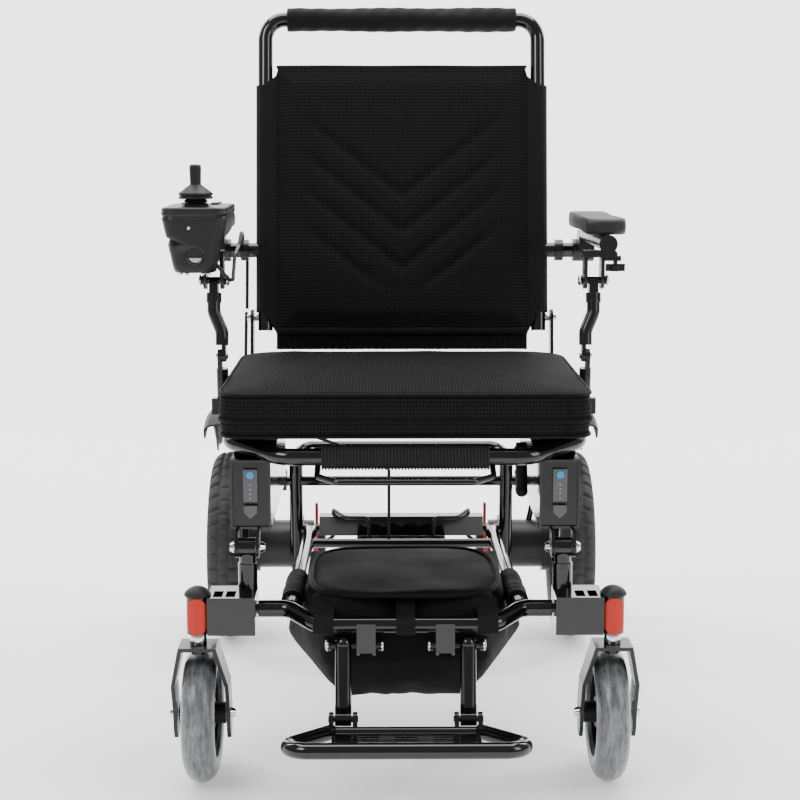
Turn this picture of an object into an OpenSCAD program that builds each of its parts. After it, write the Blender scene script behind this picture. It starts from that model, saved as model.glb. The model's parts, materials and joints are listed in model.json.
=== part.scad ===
// Folding power wheelchair. Millimetres, +Z up, the sitter faces -Y, and +X is the sitter's left.
// The origin is on the floor under the middle of the chair.
// The seat, front legs, lower frame and rear frame are a four-bar parallelogram:
// hinges F and R are on the seat frame, G and Q are straight below them.

/* [Wheels] */
// Radius of the drive tyre
drive_r = 155; // [140:1:165]
// Width of the drive tyre
drive_w = 57; // [50:1:60]
// Radius of the caster tyre
caster_r = 89; // [75:1:92]
// Width of the caster tyre
caster_w = 43; // [36:1:46]
// Distance of the caster wheel's middle from the middle of the chair
caster_x = 264; // [262:1:275]

/* [Seat] */
// Distance of the seat rail from the middle of the chair
rail_x = 228; // [226:1:230]
// Height of the seat rail's axis
rail_z = 440; // [438:1:446]
// Half the width of the cushion
cushion_half = 237; // [220:1:238]
// Thickness of the cushion
cushion_t = 68; // [50:1:70]

/* [Backrest] */
// Distance of the backrest tube from the middle of the chair
back_x = 207; // [205:1:208]
// Lean of the backrest from upright
back_lean = 10; // [8:1:12]
// Length of the backrest tube above its hinge
back_len = 454; // [420:1:470]

/* [Tube] */
// Outer diameter of the frame tubes
tube_d = 22; // [20:1:22]
// Clearance of a pin in its bore, on the radius
fit = 0.06; // [0.03:0.01:0.1]

/* [Hidden] */
$fn = 48;
tube_r = tube_d / 2;
black = "#17181b";
soft_black = "#202124";
plastic = "#2c2d30";
steel = "#b9bbbd";
red = "#c7402c";
grey_pu = "#7c8080";

// Hinge lines of the parallelogram, as [y, z]
link = 81;
F = [-320, 313];
G = [F[0], F[1] - link];
R = [280, 275];
Q = [R[0], R[1] - link];

// Backrest hinge, armrest hinge, strut's lower pin and strut's upper pin, as [y, z]
P = [120, 561];
A = [138, 662];
B = [-135, 639.5];
S = [B[0] - (A[0] - P[0]), B[1] - (A[1] - P[1])];

// Wheels
rear_axle = [340, 155];
caster_axle = [-310, caster_r];
stem_y = -348;
drive_x = 284.5;

// Footrest: hanger pivot and footplate hinge, as [y, z]
H = [-362, 196];
K = [-384, 106];
bar_y = -360;

// Armrest
arm_x = 276;
arm_z = 689;
strut_x = 258;
low_x = 247;
pad_x = 275;
pad_z = 701;
pod_x = -279;
stick = [pod_x, -150, 735];

battery_x = 198;

// ---- Shared shapes ----

function unit(v) = v / norm(v);

module side(s) { if (s > 0) children(); else mirror([1, 0, 0]) children(); }

module both() {
    children();
    mirror([1, 0, 0]) children();
}

// Cylinder from point a to point b
module rod(a, b, r) {
    v = b - a;
    translate(a) rotate([0, acos(v[2] / norm(v)), atan2(v[1], v[0])]) cylinder(h = norm(v), r = r);
}

// Cylinder along X from x0 to x1, about the line at [y, z]
module xrod(x0, x1, at, r) {
    translate([x0, at[0], at[1]]) rotate([0, 90, 0]) cylinder(h = x1 - x0, r = r);
}

// Round elbow at point b between the directions from a and to c, with bend radius r
module elbow(a, b, c, tube, r) {
    u = unit(b - a);
    v = unit(c - b);
    turn = acos(u * v);
    centre = b + unit(v - u) * r / cos(turn / 2);
    e1 = unit(b - u * r * tan(turn / 2) - centre);
    n = cross(e1, u);
    multmatrix([[e1[0], u[0], n[0], centre[0]], [e1[1], u[1], n[1], centre[1]],
                [e1[2], u[2], n[2], centre[2]], [0, 0, 0, 1]])
        rotate_extrude(angle = turn) translate([r, 0]) circle(r = tube);
}

// Tube through the points, bent with radius r at each inner one; the straights run 0.6 mm into
// elbows that are 0.05 mm fatter, so the two are one solid
module bent_tube(points, tube, r) {
    n = len(points);
    cut = [for (i = [0:n - 1]) (i == 0 || i == n - 1) ? 0
        : r * tan(acos(unit(points[i] - points[i - 1]) * unit(points[i + 1] - points[i])) / 2) - 0.6];
    for (i = [0:n - 2]) {
        u = unit(points[i + 1] - points[i]);
        rod(points[i] + u * cut[i], points[i + 1] - u * cut[i + 1], tube);
    }
    for (i = [1:n - 2]) elbow(points[i - 1], points[i], points[i + 1], tube + 0.05, r);
}

// Flat plate drawn in the YZ plane, from x0 to x1
module yz_plate(x0, x1) {
    translate([x0, 0, 0]) rotate([90, 0, 90]) linear_extrude(x1 - x0) children();
}

// Plate outline with round ends between two [y, z] points; its sides stop 0.02 mm short of tangent
module strap(a, b, r) {
    d = b - a;
    translate(a) circle(r);
    translate(b) circle(r);
    translate(a) rotate(atan2(d[1], d[0])) translate([0, 0.02 - r]) square([norm(d), 2 * r - 0.04]);
}

// Button-head bolt along X: shaft from x0 to x1 with a domed head outside each end
module xbolt(x0, x1, at, r, head, thick) {
    xrod(x0 - 1, x1 + 1, at, r);
    translate([x0, at[0], at[1]]) rotate([0, -90, 0]) cylinder(h = thick, r1 = head, r2 = head * 0.62);
    translate([x1, at[0], at[1]]) rotate([0, 90, 0]) cylinder(h = thick, r1 = head, r2 = head * 0.62);
}

// Point on the backrest tube, d above its hinge, at x
function back(x, d) = [x, P[0] + d * sin(back_lean), P[1] + d * cos(back_lean)];

// ---- Seat ----

rail_front = -328;
rail_rear = 100;
handle_z = 432;

// Side rails, rear cross tube, and the front carrying bar, welded
module seat_frame() color(black) {
    bent_tube([[rail_x, rail_rear, rail_z], [rail_x, -262, rail_z], [158, rail_front, handle_z],
        [-158, rail_front, handle_z], [-rail_x, -262, rail_z], [-rail_x, rail_rear, rail_z]], tube_r, 40);
    both() {
        bent_tube([[rail_x, rail_rear - 1, rail_z], [rail_x, rail_rear + 40, rail_z], [196, R[0] - 11, R[1] + 15]],
            tube_r, 45);
    }
    xrod(-rail_x, rail_x, [rail_rear - 20, rail_z], tube_r);
    xrod(-rail_x, rail_x, [-150, rail_z - 4], 8);
}

// Plates on the rails: hinge ears F and R, battery hangers, backrest brackets, armrest posts
module seat_brackets() color(black) {
    both() {
        // battery hanger and ears for the front leg
        difference() {
            for (x = [186.5, 213.5]) yz_plate(x, x + 4) difference() {
                strap([F[0] - 1, F[1]], [F[0] + 6, 333], 13);
                translate([F[0] - 1, F[1]]) translate([1, 0]) circle(4 + fit);
            }
            translate([180, -350, 334.5]) cube([50, 80, 40]);
        }
        for (y = [-240, -60]) translate([213, y, 424.9]) cube([12, 40, 8]);
        // ear on the rear hinge tube
        difference() {
            xrod(187, 201, R, 16);
            xrod(186, 202, R, 8 + fit);
        }
        // plate and pin that carry the release bar
        yz_plate(118, 122) strap(release_pivot, [rail_front, handle_z + 1], 8);
        xrod(100, 119, release_pivot, 4);
        // backrest bracket
        difference() {
            yz_plate(224, 229) {
                strap([99, 449], [P[0], P[1]], 12.5);
            }
            xrod(223, 230, P, 5 + fit);
        }
        // armrest post: a tongue beside the strut's, on a tube that leans in to the rail
        difference() {
            yz_plate(low_x + 0.1, low_x + 5.6) strap([S[0], S[1]], [S[0] + 1, 512], 9);
            xrod(low_x - 6, low_x + 8, S, 4 + fit);
        }
        rod([low_x, S[0] + 1, 521], [low_x, S[0] + 4, 480], 8);
        translate([low_x, S[0] + 4, 480]) sphere(8.1);
        rod([low_x, S[0] + 4, 480], [low_x, S[0] + 6, 452], 8);
        translate([low_x, S[0] + 6, 452]) sphere(8.1);
        rod([low_x, S[0] + 6, 452], [240, S[0] + 8, 441], 8);
        translate([low_x, S[0] - 3, 458]) cube([15, 14, 22]);
    }
}

// Ribbed rubber sleeve on the carrying bar
module handle_grip() color(soft_black) difference() {
    union() {
        xrod(-106, 106, [rail_front, handle_z], 15.6);
        for (i = [0:16]) xrod(-105 + i * 12.8, -100 + i * 12.8, [rail_front, handle_z], 17);
    }
    xrod(-116, 116, [rail_front, handle_z], tube_r + 0.02);
}

// Sling cloth stretched over the rails
module seat_sling() color(soft_black) translate([-rail_x + 12, -250, rail_z + 8]) cube([2 * rail_x - 24, 314, 3.4]);

module seat_cushion() color(soft_black) {
    z0 = rail_z + 12.4;
    hull() for (x = [-1, 1], y = [[-335, 1, 26], [83, -1, 50]])
        translate([x * (cushion_half - y[2]), y[0] + y[2] * y[1], z0]) {
            cylinder(h = cushion_t - 8, r = y[2], $fn = 24);
            translate([0, 0, cushion_t - 8]) cylinder(h = 8, r1 = y[2], r2 = y[2] - 6, $fn = 24);
        }
}

// ---- Batteries ----

// Extruded tube that holds each battery, closed at the back
module battery_housings() color(black) both() translate([battery_x - 26, -312, 335]) difference() {
    cube([52, 322, 89.8]);
    translate([3, -1, 3]) cube([46, 318, 83.8]);
}

// Battery pack with its front bezel, gauge window and pull tab
module batteries() color(plastic) both() {
    translate([battery_x - 22.8, -309, 338.2]) cube([45.6, 312, 83.4]);
    translate([battery_x, -312.5, 378]) difference() {
        translate([-9, -2.5, -7]) cube([18, 6, 42]);
        rotate([90, 0, 0]) translate([0, 28, -3]) cylinder(h = 8, r = 5.2);
    }
    translate([battery_x, -309, 366]) rotate([90, 0, 0])
        linear_extrude(7) polygon([[-8.5, 0], [8.5, 0], [8.5, -9], [0, -17], [-8.5, -9]]);
}

module battery_button(s) color("#3fa7c4") side(s) translate([battery_x, -311, 406])
    rotate([90, 0, 0]) cylinder(h = 5.6, r = 5);

// ---- Hardware on the seat frame ----

module frame_bolts() color(steel) {
    both() {
        xbolt(184.5, 219.5, F, 4, 7.5, 5);
        xbolt(195.5, 229.5, P, 5, 8, 5);
        xbolt(low_x - 5.8, low_x + 5.9, S, 4, 6, 2.5);
    }
    // pin of the latch lever, on the left battery housing
    xrod(148, 172, lever_pivot, 4);
}

// Thin bar under the carrying bar that unlocks the fold
release_pivot = [-262, rail_z - 16];
module release_bar() color(black) {
    bent_tube([[112, release_pivot[0] - 6.5, release_pivot[1] - 2], [112, -328, 407], [86, -347, 403],
        [-86, -347, 403], [-112, -328, 407], [-112, release_pivot[0] - 6.5, release_pivot[1] - 2]], 4, 10);
    both() difference() {
        xrod(107, 117, release_pivot, 8);
        xrod(106, 118, release_pivot, 4 + fit);
    }
}

// Rubber-sleeved lever that hangs inside the left battery
lever_pivot = [-200, 418];
module fold_latch_lever() color(soft_black) {
    difference() {
        xrod(150, 164, lever_pivot, 9);
        xrod(149, 165, lever_pivot, 4 + fit);
    }
    rod([157, lever_pivot[0] - 2, lever_pivot[1] - 6], [157, lever_pivot[0] - 16, 362], 8);
    translate([157, lever_pivot[0] - 16, 364]) sphere(8.4);
}

// ---- Front legs and casters ----

module front_legs() color(black) both() {
    difference() {
        union() {
            xrod(191.3, 212.7, F, 12.5);
            rod([202, G[0], 225], [202, F[0], F[1]], tube_r - 0.5);
            rod([202, G[0], 225], [202, F[0], 293], 12.3);
            translate([190, -364, 209]) cube([61, 60, 49]);
            translate([caster_x, stem_y, 209]) cylinder(h = 49, r = 14.5);
        }
        xrod(190, 214, F, 4 + fit);
        xrod(189, 214, G, 6 + fit);
        translate([caster_x, stem_y, 208]) cylinder(h = 46, r = 8 + fit);
        for (x = [222, 238]) translate([x - 6, -358, 248]) cube([12, 28, 11]);
    }
}

module caster_caps() color(plastic) both() translate([caster_x, stem_y, 258.05]) {
    intersection() {
        translate([0, 0, -8]) sphere(20);
        cylinder(h = 14, r = 17);
    }
}

// Red reflector strip on the front of the stem housing
module caster_reflectors() color(red) both() intersection() {
    difference() {
        translate([caster_x, stem_y, 205]) cylinder(h = 60, r = 17.5);
        translate([caster_x, stem_y, 204]) cylinder(h = 62, r = 14.55);
    }
    translate([caster_x, stem_y - 8, 0]) rotate([90, 0, 0]) linear_extrude(20) {
        translate([0, 221]) circle(12);
        translate([0, 245]) circle(12);
        translate([-11.98, 221]) square([23.96, 24]);
    }
}

// Pressed fork: the arch seen from the front, cut to the slanted arm seen from the side
module caster_fork(s) color(black) side(s) {
    difference() {
        intersection() {
            translate([caster_x, -200, 0]) rotate([90, 0, 0]) linear_extrude(240) polygon([
                [-37, 58], [-37, 136], [-24, 194], [24, 194], [37, 136], [37, 58],
                [32, 58], [32, 135], [20, 188.5], [-20, 188.5], [-32, 135], [-32, 58]]);
            yz_plate(220, 310) polygon([[-370, 195], [-326, 195], [-320, 178], [-292, 96], [-296, 66], [-302, 58],
                [-318, 58], [-324, 70], [-328, 96], [-364, 178]]);
        }
        xrod(220, 308, caster_axle, 4 + fit);
    }
    translate([caster_x, stem_y, 193]) cylinder(h = 57, r = 8);
    translate([caster_x, stem_y, 193]) cylinder(h = 15.7, r = 9.5);
    translate([caster_x, stem_y, 181]) cylinder(h = 8, r = 9, $fn = 6);
}

module caster_axle(s) color(steel) side(s) xbolt(caster_x - 37.05, caster_x + 37.05, caster_axle, 4, 7.5, 6);

module caster_tyre(s) color(grey_pu) side(s) translate([caster_x, caster_axle[0], caster_axle[1]]) rotate([0, 90, 0])
    rotate_extrude() difference() {
        translate([caster_r - caster_w / 2, 0]) circle(caster_w / 2);
        translate([0, -30]) square([caster_r - 31, 60]);
    }

module caster_hub(s) color(plastic) side(s) translate([caster_x, caster_axle[0], caster_axle[1]]) rotate([0, 90, 0]) {
    difference() {
        union() {
            translate([0, 0, -15]) cylinder(h = 30, r = caster_r - 31.05);
            translate([0, 0, -30]) cylinder(h = 60, r = 14);
        }
        translate([0, 0, 4]) ring_cut();
        translate([0, 0, -16]) ring_cut();
        translate([0, 0, -31]) cylinder(h = 62, r = 4 + fit);
    }
}

module ring_cut() difference() {
    cylinder(h = 12, r = 50);
    translate([0, 0, -1]) cylinder(h = 14, r = 20);
}

// ---- Lower frame, bag and footrest ----

side_x = 148;

module bottom_frame() color(black) {
    bent_tube([[189, G[0], G[1]], [150, G[0], G[1]], [112, bar_y, G[1] - 10], [-112, bar_y, G[1] - 10],
        [-150, G[0], G[1]], [-189, G[0], G[1]]], tube_r, 26);
    both() {
        xrod(188, 213, G, 6);
        difference() {
            union() {
                rod([side_x, G[0] + 2, G[1]], [side_x, Q[0] - 12, Q[1]], tube_r);
                xrod(143, 153, Q, 15);
            }
            xrod(130, 165, Q, 8 + fit);
            translate([130, Q[0] - 10, 150]) cube([13, 60, 80]);
            translate([153, Q[0] - 10, 150]) cube([13, 60, 80]);
        }
        // channel that holds the hanger pivot
        for (x = [38, 58]) yz_plate(x, x + 4) polygon([[-372, 226], [-372, 188], [-368, 184], [-356, 184], [-352, 188],
            [-352, 226]]);
        translate([38, -372, 188]) cube([24, 4, 38]);
        xrod(34, 95, H, 4);
        for (x = [30, 94]) xrod(x, x + 5, H, 7);
    }
    // cross strut in front of the bag's rear end
    xrod(-side_x, side_x, [150, 202], 7);
}

// Bag slung between the side tubes
module storage_bag() color(soft_black) {
    hull() {
        translate([0, 0, 249]) linear_extrude(1) polygon([[-95, -336], [95, -336], [132, -270], [132, -95],
            [-132, -95], [-132, -270]]);
        translate([0, 0, 208]) linear_extrude(1) polygon([[-98, -338], [98, -338], [133, -262], [133, -90],
            [-133, -90], [-133, -262]]);
    }
    hull() {
        translate([0, 0, 205]) linear_extrude(3.5) polygon([[-98, -338], [98, -338], [133, -262], [133, -90],
            [-133, -90], [-133, -262]]);
        translate([0, 0, 170]) linear_extrude(1) polygon([[-100, -328], [100, -328], [150, -205], [150, -105],
            [-150, -105], [-150, -205]]);
        translate([0, 0, 112]) linear_extrude(1) polygon([[-80, -300], [80, -300], [110, -200], [110, -130],
            [-110, -130], [-110, -200]]);
    }
}

module footrest_hangers() color(black) both() difference() {
    union() {
        rod([79, H[0], H[1] + 2], [79, K[0] + 6, K[1] + 14], 10.5);
        translate([79, H[0], H[1] + 2]) sphere(10.9);
        xrod(68.6, 89.4, K, 9);
        translate([68.6, K[0] - 2, K[1]]) cube([20.8, 11, 18]);
    }
    xrod(60, 100, H, 4 + fit);
    xrod(60, 100, K, 4 + fit);
}

plate_slope = 8;
plate_drop = 15;
plate_len = 112;
module footplate() color(black) {
    both() {
        xrod(60, 98, K, 4);
        for (x = [61, 91]) yz_plate(x, x + 6) strap([K[0], K[1]], [K[0] - 7, K[1] - plate_drop], 9);
    }
    translate([0, K[0], K[1]]) rotate([-plate_slope, 0, 0]) translate([0, 0, -plate_drop]) {
        bent_tube([[94, -6, 0], [166, -plate_len, 0], [-166, -plate_len, 0], [-94, -6, 0]], 10, 26);
        xrod(-97, 97, [-8, 0], 7);
        difference() {
            translate([-92, -104, -2]) cube([184, 92, 4]);
            for (x = [-62, -14, 34], y = [-92, -78, -64, -50, -36]) translate([x, y, -3]) cube([28, 6, 8]);
        }
    }
}

// ---- Rear frame and drive ----

u_x = 172;
u_top = 330;
module rear_frame() color(black) {
    bent_tube([[u_x, R[0], 150], [u_x, R[0], u_top], [-u_x, R[0], u_top], [-u_x, R[0], 150]], tube_r, 28);
    xrod(-204, 204, R, 8);
    translate([-134, Q[0] - 14, Q[1] - 8]) cube([268, 28, 32]);
    xrod(-u_x, u_x, Q, 8);
    both() {
        // clamp ring that holds the motor
        difference() {
            union() {
                xrod(162, 182, rear_axle, 48);
                translate([163, R[0], 140]) cube([18, 30, 30]);
            }
            xrod(161, 183, rear_axle, 40.2);
        }
        // fender stay
        rod([214, 345, 185], [251.5, 338, 369], 5);
    }
}

module motors() color(plastic) both() {
    xrod(150.05, 236, rear_axle, 40);
    xrod(126, 150.06, rear_axle, 30);
    xrod(235.9, 250, rear_axle, 46);
    xrod(249.9, 318, rear_axle, 8);
}

module brake_lever(s) color(red) side(s) difference() {
    union() {
        xrod(138, 146, rear_axle, 34);
        yz_plate(138.5, 143.5) translate([rear_axle[0] - 5, rear_axle[1]]) square([10, 70]);
    }
    xrod(137, 147, rear_axle, 30 + fit);
}

// Mudguard over each drive wheel: a dished shell swept round the axle
module fenders() color(plastic) both() {
    translate([0, rear_axle[0], 184]) rotate([0, 90, 0]) rotate([0, 0, 126]) rotate_extrude(angle = 76)
        polygon([[180, 250], [196, 250], [201, 256], [203, 270], [203, 300], [200, 314], [192, 321], [176, 321],
            [176, 318], [190, 318], [197, 312], [200, 299], [200, 271], [198, 258], [194, 253], [180, 253]]);
}

module controller_box() color(plastic) difference() {
    translate([-72, 188, 140]) cube([144, 77.9, 46]);
    for (x = [-60, -30, 0, 30, 60]) translate([x - 5, 187, 183]) cube([10, 70, 4]);
}

module cable(points, r = 2.6) { bent_tube(points, r, 9); }

module motor_cables() color(black) {
    both() {
        cable([[52, 240, 185], [52, 240, 222], [90, 240, 222], [112, 300, 222], [112, 330, 170], [127, 334, 160]], 3);
    }
    cable([[-20, 222, 185], [-20, 222, 216], [-20, 208, 250], [-20, 208, 286]]);
}

// Mirrored pair: tyre on a cast wheel
module drive_tyre(s) color("#26272a") side(s) translate([drive_x, rear_axle[0], rear_axle[1]]) rotate([0, 90, 0])
    rotate_extrude() difference() {
        intersection() {
            translate([drive_r - 30, 0]) scale([1, 0.95]) circle(30);
            translate([90, -drive_w / 2]) square([90, drive_w]);
        }
        translate([0, -40]) square([112, 80]);
    }

module drive_rim(s) color("#3a3b3e") side(s) translate([drive_x, rear_axle[0], rear_axle[1]]) rotate([0, 90, 0])
    difference() {
        union() {
            difference() {
                translate([0, 0, -20]) cylinder(h = 40, r = 111.9);
                translate([0, 0, -21]) cylinder(h = 42, r = 98);
            }
            translate([0, 0, -14]) cylinder(h = 44, r = 32);
            for (a = [0:72:288]) rotate([0, 0, a]) translate([20, -11, -9]) cube([82, 22, 18]);
        }
        translate([0, 0, -40]) cylinder(h = 100, r = 8 + fit);
    }

// ---- Backrest ----

module backrest_frame() color(black) {
    difference() {
        bent_tube([back(back_x, -20), back(back_x, back_len), back(-back_x, back_len), back(-back_x, -20)],
            tube_r, 30);
        both() xrod(193, 222, P, 5 + fit);
    }
    both() xrod(back_x, 292, A, tube_r);
}

// Mesh cover pulled over both tubes, closed round them
fabric_low = -50;
fabric_high = 382;
module backrest_fabric() color(soft_black) translate([0, P[0], P[1]]) rotate([-back_lean, 0, 0]) difference() {
    union() {
        translate([-back_x + 13, -9, fabric_low]) cube([2 * back_x - 26, 18, fabric_high - fabric_low]);
        for (x = [-1, 1]) translate([x * back_x, 0, 20]) cylinder(h = fabric_high - 60, r = 14);
    }
    for (x = [-1, 1]) translate([x * back_x, 0, fabric_low - 10]) cylinder(h = 600, r = tube_r + 0.02);
    // notches for the hinge bolts and the armrest stubs
    for (x = [-1, 1]) translate([x * (back_x - 14), 0, 0]) rotate([0, 90, 0]) cylinder(h = 16, r = 14, center = true);
    for (x = [-1, 1]) translate([x * (back_x + 14), 0, 102]) cube([28, 60, 26], center = true);
}

module push_sleeve() color(soft_black) translate([0, P[0], P[1]]) rotate([-back_lean, 0, 0])
    translate([-174, 0, back_len]) rotate([0, 90, 0]) difference() {
        cylinder(h = 348, r = 18);
        translate([0, 0, -1]) cylinder(h = 350, r = tube_r + 0.02);
    }

// ---- Armrests ----

module armrest_link(s) color(black) side(s) difference() {
    union() {
        xrod(232, 244, A, 16);
        translate([232, A[0], A[1] - 16]) cube([12, 18, 8]);
    }
    xrod(231, 245, A, tube_r + fit);
}

module armrest_beam(s) color(black) side(s) {
    difference() {
        union() {
            xrod(259, 291, A, 17);
            translate([arm_x - 11, 100, arm_z - 26]) cube([22, 34, 30]);
            rod([arm_x, -148, arm_z], [arm_x, 112, arm_z], tube_r);
            translate([arm_x, -150.5, arm_z]) rotate([-90, 0, 0]) cylinder(h = 4, r = 12.5);
        }
        xrod(258, 292, A, tube_r + fit);
    }
    translate([244, B[0] - 12, 671]) cube([43, 24, 9]);
    for (x = [244, 267]) yz_plate(x, x + 5) strap([B[0], B[1]], [B[0], 668], 12);
    xbolt(243, 273, B, 4.8, 7, 3);
    // thumb screw that locks the armrest down on its strut
    translate([287, B[0] - 4, 652]) {
        cylinder(h = 26, r = 3);
        cylinder(h = 8, r = 7);
        translate([-13, -2.5, 0]) cube([26, 5, 10]);
    }
    translate([271, B[0] - 10, 666]) cube([23, 12, 7]);
}

module pad(x, y0, y1) {
    hull() for (sx = [-1, 1], y = [y0 + 14, y1 - 14]) translate([x + sx * 13, y, pad_z + 0.1]) {
        cylinder(h = 17, r = 14, $fn = 24);
        translate([0, 0, 17]) cylinder(h = 6.5, r1 = 14, r2 = 9, $fn = 24);
    }
}

module armrest_pad_left() color(plastic) pad(pad_x, -148, 112);
module armrest_pad_right() color(plastic) pad(-pad_x, -30, 112);

// Strut with an open saddle at the top for the armrest's bolt
module armrest_strut(s) color(soft_black) side(s) {
    difference() {
        union() {
            yz_plate(low_x - 5.6, low_x) strap([S[0], S[1]], [S[0] + 3.6, S[1] + 20], 8.4);
            bent_tube([[low_x, S[0] + 2.6, S[1] + 14], [low_x, S[0] + 5.7, S[1] + 32], [strut_x, S[0] + 10.3, S[1] + 58],
                [strut_x, S[0] + 14.9, S[1] + 84]], 8.8, 22);
            rod([strut_x, S[0] + 12.6, S[1] + 71], [strut_x, S[0] + 14.9, S[1] + 84], 10.2);
            yz_plate(strut_x - 6, strut_x + 6) strap([S[0] + 13.5, S[1] + 76], [B[0], B[1] - 4], 9.4);
        }
        xrod(low_x - 7, low_x + 2, S, 4 + fit);
        xrod(strut_x - 7, strut_x + 7, B, 5.8);
        translate([strut_x - 7, B[0] - 5.6, B[1]]) cube([14, 11.2, 30]);
    }
}

// ---- Joystick pod ----

panel_z = 735;
module joystick_pod() color(plastic) difference() {
    union() {
        hull() {
            translate([pod_x - 32, -190, 712]) cube([64, 6, 20]);
            translate([pod_x - 40, -182, 712]) cube([80, 28, 22.9]);
            translate([pod_x - 26, -184, 655]) cube([56, 4, 10]);
            translate([pod_x - 26, -176, 653]) cube([56, 22, 10]);
        }
        translate([pod_x - 40, -156, 702]) cube([80, 120, 32.9]);
    }
    translate([pod_x, stick[1], 712]) cylinder(h = 40, r = 19);
    // charging socket mouth
    translate([pod_x + 2, -192, 676]) rotate([-90, 0, 0]) difference() {
        cylinder(h = 22, r = 12);
        translate([0, 0, 3]) cylinder(h = 20, r = 10);
    }
    for (b = button_at) translate([b[0], b[1], 728]) cylinder(h = 20, r = 7.5);
}

button_at = [[pod_x - 20, -96], [pod_x + 20, -96], [pod_x - 20, -62], [pod_x + 20, -62]];

module pod_panel() color(soft_black) difference() {
    union() {
        hull() {
            translate([pod_x - 33, -189, panel_z]) cube([66, 4, 5]);
            translate([pod_x - 40, -180, panel_z]) cube([80, 142, 6]);
        }
        translate([pod_x, stick[1], panel_z]) cylinder(h = 11, r = 16);
    }
    translate([pod_x, stick[1], panel_z - 1]) cylinder(h = 20, r = 12.5);
    for (b = button_at) translate([b[0], b[1], panel_z - 1]) cylinder(h = 20, r = 6.2);
}

// Ring that carries the stick and tips left and right in the pod
module joystick_gimbal() color(steel) translate([stick[0], stick[1], stick[2] - 12]) difference() {
    union() {
        translate([0, 0, -3]) cylinder(h = 6, r = 13);
        rotate([90, 0, 0]) translate([0, 0, -18.9]) cylinder(h = 37.8, r = 2);
    }
    translate([0, 0, -4]) cylinder(h = 8, r = 9);
    rotate([90, 0, 0]) translate([0, 0, -8.5]) cylinder(h = 17, r = 4);
    rotate([0, 90, 0]) translate([0, 0, -15]) cylinder(h = 30, r = 1.5 + fit);
}

// Stick with its cross pin, flared skirt and knob
module joystick_stick() color(plastic) translate([stick[0], stick[1], stick[2] - 12]) {
    rotate([0, 90, 0]) translate([0, 0, -12.8]) cylinder(h = 25.6, r = 1.5);
    translate([0, 0, -5]) cylinder(h = 46, r = 4);
    translate([0, 0, 32]) cylinder(h = 3, r = 23);
    translate([0, 0, 35]) cylinder(h = 11, r1 = 22.5, r2 = 8);
    translate([0, 0, 45.9]) cylinder(h = 24, r1 = 7.4, r2 = 7.8);
    translate([0, 0, 69.8]) cylinder(h = 3, r1 = 7.8, r2 = 6);
}

module button(i) translate([button_at[i][0], button_at[i][1], panel_z - 3]) {
    cylinder(h = 11, r = 6);
    cylinder(h = 1.8, r = 7.2);
}
module power_button() color("#2e8b57") button(0);
module horn_button() color("#b58b2a") button(1);
module faster_button() color(steel) button(2);
module slower_button() color(steel) button(3);

// ---- Control cable, in three lengths that meet at the hinges ----

module armrest_cable() color(black) cable([[-253, -168, 666], [-235, -162, 642], [-235, -106, 638], [-235, -72, 668],
    [-243, 84, 672], [-243, 124, 688], [-243, 152, 688], [-243, 165, 671]]);

module backrest_cable() color(black) cable([[-237, 166, 667], [-237, 163, 640], [-237, 146, 572]]);

module frame_cable() color(black) cable([[-238, 145, 567], [-242, 158, 470], [-180, 212, 376], [-60, 208, 334],
    [-20, 208, 310], [-20, 208, 289]]);

seat_frame();
seat_brackets();
handle_grip();
seat_sling();
seat_cushion();
battery_housings();
batteries();
battery_button(1);  // battery_button_left
battery_button(-1);  // battery_button_right
frame_bolts();
release_bar();
fold_latch_lever();
frame_cable();
front_legs();
caster_caps();
caster_reflectors();
caster_fork(1);  // caster_fork_left
caster_fork(-1);  // caster_fork_right
caster_axle(1);  // caster_axle_left
caster_axle(-1);  // caster_axle_right
caster_tyre(1);  // caster_tyre_left
caster_tyre(-1);  // caster_tyre_right
caster_hub(1);  // caster_hub_left
caster_hub(-1);  // caster_hub_right
bottom_frame();
storage_bag();
footrest_hangers();
footplate();
rear_frame();
motors();
fenders();
controller_box();
motor_cables();
brake_lever(1);  // brake_lever_left
brake_lever(-1);  // brake_lever_right
drive_tyre(1);  // drive_tyre_left
drive_tyre(-1);  // drive_tyre_right
drive_rim(1);  // drive_rim_left
drive_rim(-1);  // drive_rim_right
backrest_frame();
backrest_fabric();
push_sleeve();
backrest_cable();
armrest_link(1);  // armrest_link_left
armrest_link(-1);  // armrest_link_right
armrest_beam(1);  // armrest_beam_left
armrest_beam(-1);  // armrest_beam_right
armrest_pad_left();
armrest_pad_right();
armrest_strut(1);  // armrest_strut_left
armrest_strut(-1);  // armrest_strut_right
joystick_pod();
pod_panel();
joystick_gimbal();
joystick_stick();
power_button();
horn_button();
faster_button();
slower_button();
armrest_cable();
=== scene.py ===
import json
import math

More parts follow.
